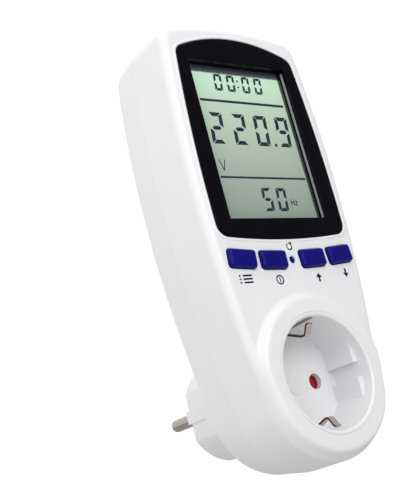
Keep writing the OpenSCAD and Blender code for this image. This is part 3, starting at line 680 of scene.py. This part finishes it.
def shell_skin(s):
    """Outer skin from the front fillet to the seam, and inner skin back to the face."""
    fillet = []
    fillet_steps = 14
    for i in range(fillet_steps + 1):
        a = math.pi / 2 * (1 - i / fillet_steps)
        d = FRONT_DRAFT + FRONT_FILLET * (1 - math.cos(a))
        base = Y_FACE + FRONT_FILLET * (1 - math.sin(a))
        rise = math.sin(a)
        fillet.append(s.ring(case_outline(d, TOP_CORNER - d),
                             lambda p, b=base, w=rise: b - w * turret_rise(p.length)))
    y_side = Y_FACE + FRONT_FILLET
    side = []
    side_steps = 4
    for i in range(1, side_steps + 1):
        t = i / side_steps
        d = FRONT_DRAFT * (1 - t)
        side.append(s.ring(case_outline(d, TOP_CORNER - d),
                           y_side + (Y_SEAM - SEAM_BEVEL - y_side) * t))
    lip = s.ring(case_outline(SEAM_BEVEL, TOP_CORNER - SEAM_BEVEL), Y_SEAM)
    y_step = Y_SEAM - TONGUE_DEPTH - TONGUE_GAP
    inner = [s.ring(case_outline(inset, corner), y) for inset, corner, y in (
        (TONGUE_OUTER - TONGUE_GAP, 5.8, Y_SEAM),
        (TONGUE_OUTER - TONGUE_GAP, 5.8, y_step + 0.01),
        (WALL, 4.8, y_step),
        (INNER_DRAFT, 4.4, Y_IN_FRONT + 1.4),
        (INNER_DRAFT + 1, INNER_CORNER, Y_IN_FRONT))]
    s.loft(fillet + side + [lip] + inner)


def shell_faces(s):
    """Outer and inner side of the front face, with the openings left out."""
    # Points in circles let the socket ring rise smoothly from the outer side.
    first, pitch, count = 21.6, 0.36, 22
    extra = []
    for i in range(count):
        extra += circle(first + pitch * i, 128)
    d = FRONT_DRAFT + FRONT_FILLET
    socket = circle(INSERT_RADIUS + INSERT_SEAM + RIM_SWELL, 96)
    s.sheet(case_outline(d, TOP_CORNER - d),
            [bezel_outline(BEZEL_GAP + BEZEL_RIM[0][0]), socket] + holes_in_face(HOLE_RIM[0][0]),
            face_depth, extra)
    s.sheet(case_outline(INNER_DRAFT + 1, INNER_CORNER),
            [window_outline(COLLAR_HOLE), circle(FLANGE_HOLE)] + holes_in_face(0), Y_IN_FRONT)


def shell_openings(s):
    """Rims and walls of the key windows, the surround's pocket and the socket."""
    for rims in zip(*(holes_in_face(g) for g, _ in HOLE_RIM)):
        rings = [s.ring(o, Y_FACE + dy) for o, (_, dy) in zip(rims, HOLE_RIM)]
        s.loft(rings + [s.ring(rims[-1], Y_IN_FRONT)])
    y_pocket = Y_FACE + BEZEL_PLATE + 0.02
    rings = [s.ring(bezel_outline(BEZEL_GAP + g), Y_FACE + dy) for g, dy in BEZEL_RIM]
    s.loft(rings + [s.ring(bezel_outline(BEZEL_GAP), y_pocket)])
    s.sheet(bezel_outline(BEZEL_GAP), [window_outline(COLLAR_HOLE)], y_pocket)
    s.loft([s.ring(window_outline(COLLAR_HOLE), y) for y in (y_pocket, Y_IN_FRONT)])
    r = INSERT_RADIUS + INSERT_SEAM
    s.loft([s.ring(circle(radius), y) for radius, y in (
        (r + RIM_SWELL, Y_RIM), (r, Y_RIM + RIM_SWELL), (r, Y_RIM + WALL),
        (FLANGE_HOLE, Y_RIM + WALL), (FLANGE_HOLE, Y_IN_FRONT))])


def front_shell():
    s = Shape()
    shell_skin(s)
    shell_faces(s)
    shell_openings(s)
    shell = piece("front_shell", s, HOUSING, SHELL, ["front_case"], crease=38)
    smooth = shell.modifiers.new("smooth", "WEIGHTED_NORMAL")
    smooth.keep_sharp = True
    return shell


# ---------------------------------------------------------------- back shell
def back_levels(skin, steps=16):
    """Back shell levels as (inset, corner, y), drawn in by a wall thickness."""
    levels = []
    radius = REAR_FILLET - skin
    for i in range(steps + 1):
        a = math.pi / 2 * i / steps
        inset = REAR_DRAFT + skin + radius * (1 - math.cos(a))
        corner = REAR_CORNER - skin + (REAR_END_CORNER - REAR_CORNER + skin) * i / steps
        levels.append((inset, corner, Y_REAR - REAR_FILLET + radius * math.sin(a)))
    return levels


def stack(levels):
    """Closed solid skinned over case outlines."""
    s = Shape()
    rings = [s.ring(case_outline(inset, corner), y) for inset, corner, y in levels]
    s.loft(rings)
    s.cap(rings[0])
    s.cap(rings[-1])
    return s


def rods(places, y0, y1, radius):
    s = Shape()
    for place in places:
        s.prism(circle(radius, 48, place), y0, y1)
    return s


def both_sides(*places):
    return [(side * x, z) for x, z in places for side in (-1, 1)]


def plug_outline(grow):
    """Round outline of the plug cut off by its two side flats."""
    r, flat = PLUG_RADIUS + grow, PLUG_FLAT + grow
    a = math.acos(flat / r)
    points = []
    for start in (a, a + math.pi):
        end = start + math.pi - 2 * a
        points.append(r * Vector((math.cos(start), math.sin(start))))
        points += arc(Vector((0, 0)), r, start, end, 60)
    return points


def box_shape(lo, hi):
    s = Shape()
    outline = [Vector(c) for c in ((lo[0], lo[2]), (hi[0], lo[2]), (hi[0], hi[2]), (lo[0], hi[2]))]
    s.prism(outline, lo[1], hi[1])
    return s


def plug_solid():
    s = Shape()
    rings = [s.ring(plug_outline(0), Y_REAR - 2.4)]
    steps = 8
    for i in range(steps + 1):
        a = math.pi / 2 * i / steps
        rings.append(s.ring(plug_outline(-PLUG_EDGE * (1 - math.cos(a))),
                            -PLUG_EDGE + PLUG_EDGE * math.sin(a)))
    s.loft(rings)
    s.cap(rings[0])
    s.cap(rings[-1])
    return s


def key_rib(side):
    """Rib on one side flat of the plug, sloped into the flat at its case end."""
    s = Shape()
    inner = side * (PLUG_FLAT - 1)
    rings = []
    for proud, y in RIB_SECTIONS:
        outer = side * (PLUG_FLAT + proud)
        corners = ((inner, -RIB_HALF), (outer, -RIB_HALF), (outer, RIB_HALF), (inner, RIB_HALF))
        rings.append(s.ring([Vector(c) for c in corners], y))
    s.loft(rings)
    s.cap(rings[0])
    s.cap(rings[-1])
    return s


def back_shell():
    base = stack([(SEAM_BEVEL, TOP_CORNER - SEAM_BEVEL, Y_SEAM),
                  (0, TOP_CORNER, Y_SEAM + SEAM_BEVEL)] + back_levels(0))
    hollow = stack([(WALL, TOP_CORNER - WALL, Y_SEAM - 1)] + back_levels(WALL))
    steps = [("UNION", plug_solid()), ("DIFFERENCE", hollow)]
    for side in (-1, 1):
        steps.append(("UNION", key_rib(side)))
        ends = side * STRIP_SLOT_INNER, side * STRIP_SLOT_OUTER
        steps.append(("DIFFERENCE", box_shape((-STRIP_SLOT_HALF, -STRIP_SLOT_LENGTH, min(ends)),
                                              (STRIP_SLOT_HALF, 1, max(ends)))))
    screws = both_sides(SCREW_LOW, SCREW_HIGH)
    y_seat = Y_REAR - SCREW_RECESS_DEPTH
    steps += [("DIFFERENCE", rods([(0, 0)], Y_REAR - 4, -PLUG_END_WALL, PLUG_HOLLOW)),
              ("UNION", rods(screws, Y_SEAM + 0.5, Y_REAR - 4.5, SCREW_POST)),
              ("DIFFERENCE", rods(screws, y_seat, Y_REAR + 1, SCREW_RECESS)),
              ("DIFFERENCE", rods(both_sides((PIN_OFFSET, 0)), -8, 1, PIN_HOLE))]
    data = combined("back_shell", base, steps)
    shell = piece("back_shell", data, HOUSING, SHELL, ["rear_case"], crease=35)
    edge_round(shell, 0.18, angle=50, segments=2)
    return shell


# ---------------------------------------------------------------- socket
def side_flat(side):
    """Flat on one side of the recess, with an open groove along its middle."""
    r = INSERT_RADIUS - 0.6
    reach = math.sqrt(r * r - RECESS_FLAT ** 2)
    groove_end = math.sqrt(r * r - GROOVE_HALF ** 2)
    lip = math.asin(GROOVE_HALF / r)
    tip = math.asin(reach / r)
    s = Shape()
    for half in (-1, 1):
        outline = [Vector((RECESS_FLAT, half * reach)), Vector((RECESS_FLAT, half * GROOVE_HALF)),
                   Vector((groove_end, half * GROOVE_HALF))]
        outline += arc(Vector((0, 0)), r, half * lip, half * tip, 12)[:-1]
        s.prism([Vector((side * p.x, p.y)) for p in outline], Y_RIM + FLAT_START, Y_FLOOR + 1)
    return s


def cup_profile():
    """Section of the socket cup, from the floor's centre over the rim to its back."""
    floor_cove = 0.8
    steps = 6
    angles = [math.pi / 2 * i / steps for i in range(steps + 1)]
    profile = [(0, Y_FLOOR)]
    profile += [(FLOOR_RADIUS - floor_cove + floor_cove * math.sin(a),
                 Y_FLOOR - floor_cove + floor_cove * math.cos(a)) for a in angles]
    profile += [(RECESS_RADIUS + CHAMFER * (1 - math.cos(a)),
                 Y_RIM + CHAMFER * (1 - math.sin(a))) for a in angles]
    y_flange = Y_RIM + WALL + 0.1
    y_flange_back = y_flange + FLANGE_THICKNESS
    swell = INSERT_RADIUS + RIM_SWELL
    return profile + [(INSERT_RADIUS, Y_RIM), (swell, Y_RIM + RIM_SWELL), (swell, Y_RIM + 1.5),
                      (INSERT_RADIUS, y_flange), (INSERT_FLANGE, y_flange),
                      (INSERT_FLANGE, y_flange_back), (INSERT_RADIUS, y_flange_back),
                      (INSERT_RADIUS, Y_FLOOR_BACK), (0, Y_FLOOR_BACK)]


def pivot_disc():
    """Low disc with a soft edge on the recess floor."""
    r, y = PIVOT_DISC, Y_FLOOR - PIVOT_DISC_HEIGHT
    disc = Shape()
    disc.lathe([(0, y), (r - 0.35, y), (r - 0.08, y + 0.08), (r, Y_FLOOR), (r, Y_FLOOR + 0.5),
                (0, Y_FLOOR + 0.5)], 64)
    return disc


def socket_cup():
    s = Shape()
    s.lathe(cup_profile(), 128)
    steps = []
    for side in (-1, 1):
        steps.append(("UNION", side_flat(side)))
        ends = side * SLOT_INNER, side * SLOT_OUTER
        steps.append(("DIFFERENCE", box_shape((-SLOT_HALF, Y_RIM + SLOT_START, min(ends)),
                                              (SLOT_HALF, Y_FLOOR_BACK + 1, max(ends)))))
    steps.append(("UNION", pivot_disc()))
    holes = rods(both_sides((PIN_OFFSET, 0)), Y_FLOOR - 1, Y_FLOOR_BACK + 1, HOLE_RADIUS)
    steps.append(("DIFFERENCE", holes))
    cup = piece("socket_cup", combined("socket_cup", s, steps), HOUSING, INSERT,
                ["socket_insert"], crease=32)
    return edge_round(cup, 0.22, angle=42)


def smooth_line(points, radius, steps=4):
    """Rounds the inner corners of an open line of (y, z) points."""
    line = [Vector(points[0])]
    for a, b, c in zip(points, points[1:], points[2:]):
        a, b, c = Vector(a), Vector(b), Vector(c)
        cut = min(radius, (a - b).length * 0.45, (c - b).length * 0.45)
        p, q = b + (a - b).normalized() * cut, b + (c - b).normalized() * cut
        for i in range(steps + 1):
            t = i / steps
            line.append(p * (1 - t) ** 2 + b * 2 * t * (1 - t) + q * t * t)
    return line + [Vector(points[-1])]


def strip_profile(line, thickness):
    """Closed outline of a bent strip, thickened on the left of its line."""
    outer = []
    for i, p in enumerate(line):
        a, b = line[max(i - 1, 0)], line[min(i + 1, len(line) - 1)]
        t = (b - a).normalized()
        outer.append(p + thickness * Vector((-t.y, t.x)))
    return [tuple(p) for p in line] + [tuple(p) for p in reversed(outer)]


def earth_clip(name, side, body, node):
    """Sprung earth clip: a strip bent to a nose with a turned-out front end."""
    line = smooth_line([(Y_RIM + depth, out) for depth, out in CLIP_BENDS], 0.9)
    # The line runs forward, so a negative thickness grows away from the recess.
    profile = strip_profile(line, -CLIP_THICKNESS)
    s = Shape()
    s.extrude_x([(y, side * z) for y, z in profile], -CLIP_HALF, CLIP_HALF)
    clip = piece(name, s, body, CLIP, [node], crease=50)
    return edge_round(clip, 0.12, angle=60, segments=2)


# ---------------------------------------------------------------- surround and keys
def bezel_piece():
    """Black surround: a plate with a round edge and a collar down to the panel."""
    s = Shape()
    edge = 0.35
    soft = 0.25
    steps = 6
    y_front = Y_FACE - BEZEL_PROUD
    y_collar = Y_LCD - 0.1
    rings = []
    for i in range(steps + 1):
        a = math.pi / 2 * i / steps
        rings.append(s.ring(bezel_outline(-edge * (1 - math.sin(a))),
                            y_front + edge * (1 - math.cos(a))))
    rings.append(s.ring(bezel_outline(0), Y_FACE + BEZEL_PLATE))
    s.loft(rings)
    s.sheet(bezel_outline(-edge), [window_outline(soft)], y_front)
    s.loft([s.ring(window_outline(g), y) for g, y in (
        (soft, y_front), (soft * 0.3, y_front + soft * 0.3), (0, y_front + soft),
        (0, y_collar), (BEZEL_COLLAR, y_collar), (BEZEL_COLLAR, Y_FACE + BEZEL_PLATE))])
    s.sheet(bezel_outline(0), [window_outline(BEZEL_COLLAR)], Y_FACE + BEZEL_PLATE)
    return piece("display_surround", s, HOUSING, SURROUND, ["bezel_frame"], crease=30)


def holder_edge():
    """Edge of the panel holder, seen along the right wall of the window, in a darker grey than the
    holder's white plastic as painted shade.
    """
    half_thickness = 0.06
    depths = (Y_LCD - 2.0, Y_LCD - 1.0)
    left, right = WINDOW_HALF - half_thickness, WINDOW_HALF + half_thickness
    low, high = WINDOW_LOW + 0.7, WINDOW_HIGH - 0.9
    s = Shape()
    s.prism([Vector(c) for c in ((left, low), (right, low), (right, high), (left, high))], *depths)
    return piece("display_holder_edge", s, HOUSING, SHADED_HOLDER_EDGE)


# Rounded front of a key, as (how far it is drawn in, depth behind its front).
KEY_FRONT = ((2.6, 0), (1.7, KEY_CROWN * 0.2), (0.95, KEY_CROWN * 0.6),
             (KEY_BEVEL + 0.12, KEY_CROWN), (KEY_BEVEL, KEY_CROWN + 0.03),
             (KEY_BEVEL * 0.45, 0.34), (0.08, 0.62), (0, 0.78))


def key_piece(name, x):
    """Key cap with a bevelled, slightly crowned face, a flange and a stem."""
    s = Shape()
    y_flange = Y_IN_FRONT + KEY_GAP
    y_flange_back = y_flange + KEY_FLANGE_THICKNESS

    def ring(shrink, y):
        outline = rounded_box(KEY_WIDTH / 2 - shrink, KEY_HEIGHT / 2 - shrink,
                              max(KEY_CORNER - shrink, 0.25))
        return s.ring(key_place(x, outline), y)

    rings = [ring(shrink, Y_FACE - KEY_PROUD + depth) for shrink, depth in KEY_FRONT]
    rings += [ring(0, y_flange), ring(-KEY_FLANGE, y_flange), ring(-KEY_FLANGE, y_flange_back)]
    s.cap(rings[0])
    s.loft(rings)
    s.cap(rings[-1])
    stem = rounded_box(KEY_STEM / 2, KEY_STEM / 2, 0.2, 2)
    s.prism(key_place(x, stem), y_flange_back, Y_BOARD - SWITCH_HEIGHT - PLUNGER_PROUD)
    return piece(f"{name}_key_cap", s, f"{name}_key_body", KEY, [f"{name}_key"], crease=40)


# ---------------------------------------------------------------- display content
def place_points(points, origin, slant=0.0):
    return [Vector((origin[0] + x + slant * z, origin[1] + z)) for x, z in points]


Y_INK = Y_LCD - 0.05
SLANT = 0.09
SEGMENTS_ON = {"0": "abcdef", "2": "abged", "5": "afgcd", "9": "abcdfg"}
CLOCK_BASE = 107.5
# Width, height, stroke and pitch of the digits in each row.
CLOCK_SIZE = (3.6, 6.8, 1.0, 6.0)
READING_SIZE = (6.2, 12.4, 1.55, 10.5)
FREQUENCY_SIZE = (4.6, 9.0, 1.2, 6.9)
# Digits, with the x and z of their lower left corner.
DIGIT_GROUPS = (("00", -10.9, CLOCK_BASE, CLOCK_SIZE), ("00", 2.3, CLOCK_BASE, CLOCK_SIZE),
                ("220", -18.7, 85.9, READING_SIZE), ("9", 12.9, 85.9, READING_SIZE),
                ("50", -3.2, 60.1, FREQUENCY_SIZE))
# Round dots as (x, z, radius): the colon, then the decimal point.
DISPLAY_DOTS = ((0.2 + SLANT * 2.1, 109.6, 0.42), (0.2 + SLANT * 4.7, 112.2, 0.42),
                (11.2, 86.5, 0.62))
# Rules as (start, end, width).
DISPLAY_RULES = (((-19.4, 103.2), (20.6, 103.2), 0.95), ((-19.4, 73.0), (21.0, 73.0), 0.75))
UNIT_STROKE = 0.34
VOLT_SIGN = (((-18.2, 79.7), (-16.9, 75.5)), ((-16.9, 75.5), (-15.6, 79.7)))
HERTZ_SIGN = (((10.5, 62.5), (10.5, 64.6)), ((11.7, 62.5), (11.7, 64.6)),
              ((10.5, 63.5), (11.7, 63.5)), ((12.3, 64.0), (13.4, 64.0)),
              ((13.4, 64.0), (12.3, 62.5)), ((12.3, 62.5), (13.4, 62.5)))


def segment_outlines(w, h, t):
    """The seven bars of a digit w by h with stroke t, as outlines from its lower left."""
    gap = 0.2 * t
    mid = h / 2
    lean = t * 0.7

    def upright(x, z0, z1, sign):
        inner = x + sign * t
        return [(x, z0 + gap), (inner, z0 + gap + lean), (inner, z1 - gap - lean), (x, z1 - gap)]

    def level(z, sign):
        inner = z + sign * t
        return [(gap + 0.1 * t, z), (w - gap - 0.1 * t, z), (w - gap - t, inner),
                (gap + t, inner)]

    return {
        "a": level(h, -1),
        "d": level(0, 1),
        "f": upright(0, mid, h, 1),
        "e": upright(0, 0, mid, 1),
        "b": upright(w, mid, h, -1),
        "c": upright(w, 0, mid, -1),
        "g": [(t * 0.7, mid), (t * 1.25, mid + t / 2), (w - t * 1.25, mid + t / 2),
              (w - t * 0.7, mid), (w - t * 1.25, mid - t / 2), (t * 1.25, mid - t / 2)],
    }


def draw_digits(s, text, x, z, size):
    *bar_size, pitch = size
    bars = segment_outlines(*bar_size)
    for i, digit in enumerate(text):
        for bar in SEGMENTS_ON[digit]:
            s.prism(place_points(bars[bar], (x + i * pitch, z), SLANT), Y_INK, Y_LCD)


def stroke(s, a, b, width, y0, y1):
    """A straight bar between two (x, z) points."""
    a, b = Vector(a), Vector(b)
    n = (b - a).normalized()
    side = Vector((-n.y, n.x)) * width / 2
    s.prism([a - side, b - side, b + side, a + side], y0, y1)


def display_content():
    """Digits, rules and unit signs, printed on the front of the panel."""
    digits = Shape()
    for text, x, z, size in DIGIT_GROUPS:
        draw_digits(digits, text, x, z, size)
    for x, z, radius in DISPLAY_DOTS:
        digits.prism(circle(radius, 12, (x, z)), Y_INK, Y_LCD)
    rules = Shape()
    for a, b, width in DISPLAY_RULES:
        stroke(rules, a, b, width, Y_INK, Y_LCD)
    units = Shape()
    for a, b in VOLT_SIGN + HERTZ_SIGN:
        stroke(units, a, b, UNIT_STROKE, Y_INK, Y_LCD)
    for name, shape in (("digits", digits), ("rules", rules), ("units", units)):
        piece(f"display_{name}", shape, HOUSING, SEGMENT)


# ---------------------------------------------------------------- printed key symbols
Y_PRINT = Y_FACE - 0.03


def ring_shape(s, centre, outer, inner, steps=40, start=0.0, sweep=2 * math.pi):
    """A flat ring or part of one, printed on the face."""
    angles = [start + sweep * i / steps for i in range(steps + 1)]
    rays = [Vector((math.cos(a), math.sin(a))) for a in angles]
    far = [Vector(centre) + outer * ray for ray in rays]
    near = [Vector(centre) + inner * ray for ray in rays]
    for i in range(steps):
        s.prism([far[i], far[i + 1], near[i + 1], near[i]], Y_PRINT, Y_FACE)


def arrow(s, centre, height, sign):
    """A block arrow that points up (sign 1) or down (sign -1)."""
    h = height / 2
    shaft, head = 0.42, 1.35
    x, z = centre
    outline = [(-shaft, -h), (shaft, -h), (shaft, 0), (head, 0), (0, h), (-head, 0), (-shaft, 0)]
    points = [Vector((x + px, z + sign * pz)) for px, pz in outline]
    if sign < 0:
        points.reverse()
    s.prism(points, Y_PRINT, Y_FACE)


def menu_symbol():
    """Three list rows, each a long bar after a short one."""
    s = Shape()
    for z in (33.4, 34.6, 35.8):
        for x0, x1 in ((-24.3, -20.4), (-26.0, -25.3)):
            stroke(s, (x0, z), (x1, z), 0.62, Y_PRINT, Y_FACE)
    return s


def coin_symbol():
    x, z = -8.4, 33.6
    s = Shape()
    ring_shape(s, (x, z), 1.75, 1.25)
    stroke(s, (x, z - 0.9), (x, z + 0.9), 0.5, Y_PRINT, Y_FACE)
    return s


def reset_symbol():
    """A ring that is open at its top, with an arrow head at its right end."""
    centre = Vector((0, 45.4))
    s = Shape()
    ring_shape(s, centre, 1.35, 0.9, 30, math.radians(120), math.radians(290))
    end = math.radians(50)
    tip = centre + 1.12 * Vector((math.cos(end), math.sin(end)))
    head = ((-0.9, 0.55), (0.35, -0.65), (0.75, 0.85))
    s.prism([tip + Vector(p) for p in head], Y_PRINT, Y_FACE)
    return s


def arrow_symbol(centre, sign):
    s = Shape()
    arrow(s, centre, 3.3, sign)
    return s


def key_symbols():
    symbols = {"menu": menu_symbol(), "coin": coin_symbol(), "up": arrow_symbol((10.1, 33.6), 1),
               "down": arrow_symbol((23.9, 34.6), -1), "reset": reset_symbol()}
    for name, shape in symbols.items():
        piece(f"{name}_symbol", shape, HOUSING, INK)


# ---------------------------------------------------------------- studio
# Lights are placed and sized in metres. WORLD_PATCH is a factor on the world's strength.
OBJECT_MIDDLE = (0, -0.04, 0.055)
WORLD_BACK = 1.05
WORLD_FRONT = 0.74
WORLD_PATCH = 0.3
PATCH_DIRECTION = (0.61, -0.75, 0.27)
STAGE_RADIUS = 900
STAGE_Z = -100
CAMERA_LENS = 65.44
CAMERA_PLACE = (-217.29, -276.92, -32.4)
CAMERA_RIGHT = (0.7902, -0.5639, -0.2399)
CAMERA_BACK = (-0.6122, -0.7448, -0.2655)


def aim(obj, target):
    obj.rotation_mode = "QUATERNION"
    obj.rotation_quaternion = (Vector(target) - obj.location).to_track_quat("-Z", "Y")


def softbox(name, place, size, watts):
    """Rectangular area light that points at the middle of the object."""
    light = bpy.data.lights.new(name, "AREA")
    light.shape = "RECTANGLE"
    light.size, light.size_y = size
    light.energy = watts
    obj = bpy.data.objects.new(name, light)
    bpy.context.scene.collection.objects.link(obj)
    obj.location = place
    aim(obj, OBJECT_MIDDLE)


def world_light():
    """Near-white surroundings, with a dimmer patch that the glossy surround reflects."""
    world = bpy.data.worlds.new("studio")
    bpy.context.scene.world = world
    world.use_nodes = True
    tree = world.node_tree
    background = tree.nodes["Background"]
    background.inputs["Color"].default_value = (1, 1, 1, 1)
    coord = tree.nodes.new("ShaderNodeTexCoord")

    def ramp_along(axis, low, high, dark, light):
        """Strength that rises from dark to light along a direction."""
        along = tree.nodes.new("ShaderNodeVectorMath")
        along.operation = "DOT_PRODUCT"
        tree.links.new(coord.outputs["Generated"], along.inputs[0])
        along.inputs[1].default_value = Vector(axis).normalized()
        scaled = tree.nodes.new("ShaderNodeMapRange")
        scaled.interpolation_type = "SMOOTHSTEP"
        scaled.inputs["From Min"].default_value = low
        scaled.inputs["From Max"].default_value = high
        scaled.inputs["To Min"].default_value = dark
        scaled.inputs["To Max"].default_value = light
        tree.links.new(along.outputs["Value"], scaled.inputs["Value"])
        return scaled.outputs["Result"]

    behind = ramp_along((0, 1, 0), -0.1, 0.35, WORLD_FRONT, WORLD_BACK)
    patch = ramp_along(PATCH_DIRECTION, 0.72, 0.94, 1.0, WORLD_PATCH)
    product = tree.nodes.new("ShaderNodeMath")
    product.operation = "MULTIPLY"
    tree.links.new(behind, product.inputs[0])
    tree.links.new(patch, product.inputs[1])
    tree.links.new(product.outputs["Value"], background.inputs["Strength"])


def floor():
    rim = [(p.x * MM, p.y * MM, STAGE_Z * MM) for p in circle(STAGE_RADIUS)]
    data = bpy.data.meshes.new("floor")
    data.from_pydata(rim, [], [tuple(range(len(rim)))])
    data.materials.append(moulded("floor_paint", (0.53, 0.53, 0.53), rough=0.6, grain=0.0,
                                  specular=0.2, amount=0.01))
    obj = bpy.data.objects.new("floor", data)
    bpy.context.scene.collection.objects.link(obj)


def studio():
    softbox("left_softbox", (-0.66, -0.42, 0.28), (0.5, 0.8), 1.1)
    softbox("front_softbox", (-0.12, -0.78, 0.36), (0.7, 0.5), 2.75)
    softbox("top_softbox", (0.05, -0.15, 0.85), (0.8, 0.6), 1.3)
    world_light()
    floor()
    settings = bpy.context.scene.view_settings
    settings.view_transform = "Standard"
    settings.look = "None"


def camera():
    data = bpy.data.cameras.new("camera")
    data.sensor_width = 36
    data.lens = CAMERA_LENS
    data.clip_start, data.clip_end = 0.01, 20
    obj = bpy.data.objects.new("camera", data)
    bpy.context.scene.collection.objects.link(obj)
    right = Vector(CAMERA_RIGHT).normalized()
    back = Vector(CAMERA_BACK).normalized()
    up = back.cross(right).normalized()
    right = up.cross(back)
    turn = Matrix((right, up, back)).transposed().to_4x4()
    obj.matrix_world = Matrix.Translation(Vector(CAMERA_PLACE) * MM) @ turn
    bpy.context.scene.camera = obj


dress_nodes()
front_shell()
back_shell()
socket_cup()
earth_clip("upper_clip_strip", 1, "upper_clip_body", "upper_earth_clip")
earth_clip("lower_clip_strip", -1, "lower_clip_body", "lower_earth_clip")
bezel_piece()
holder_edge()
for key_name, key_x in KEY_X.items():
    key_piece(key_name, key_x)
display_content()
key_symbols()
studio()
camera()
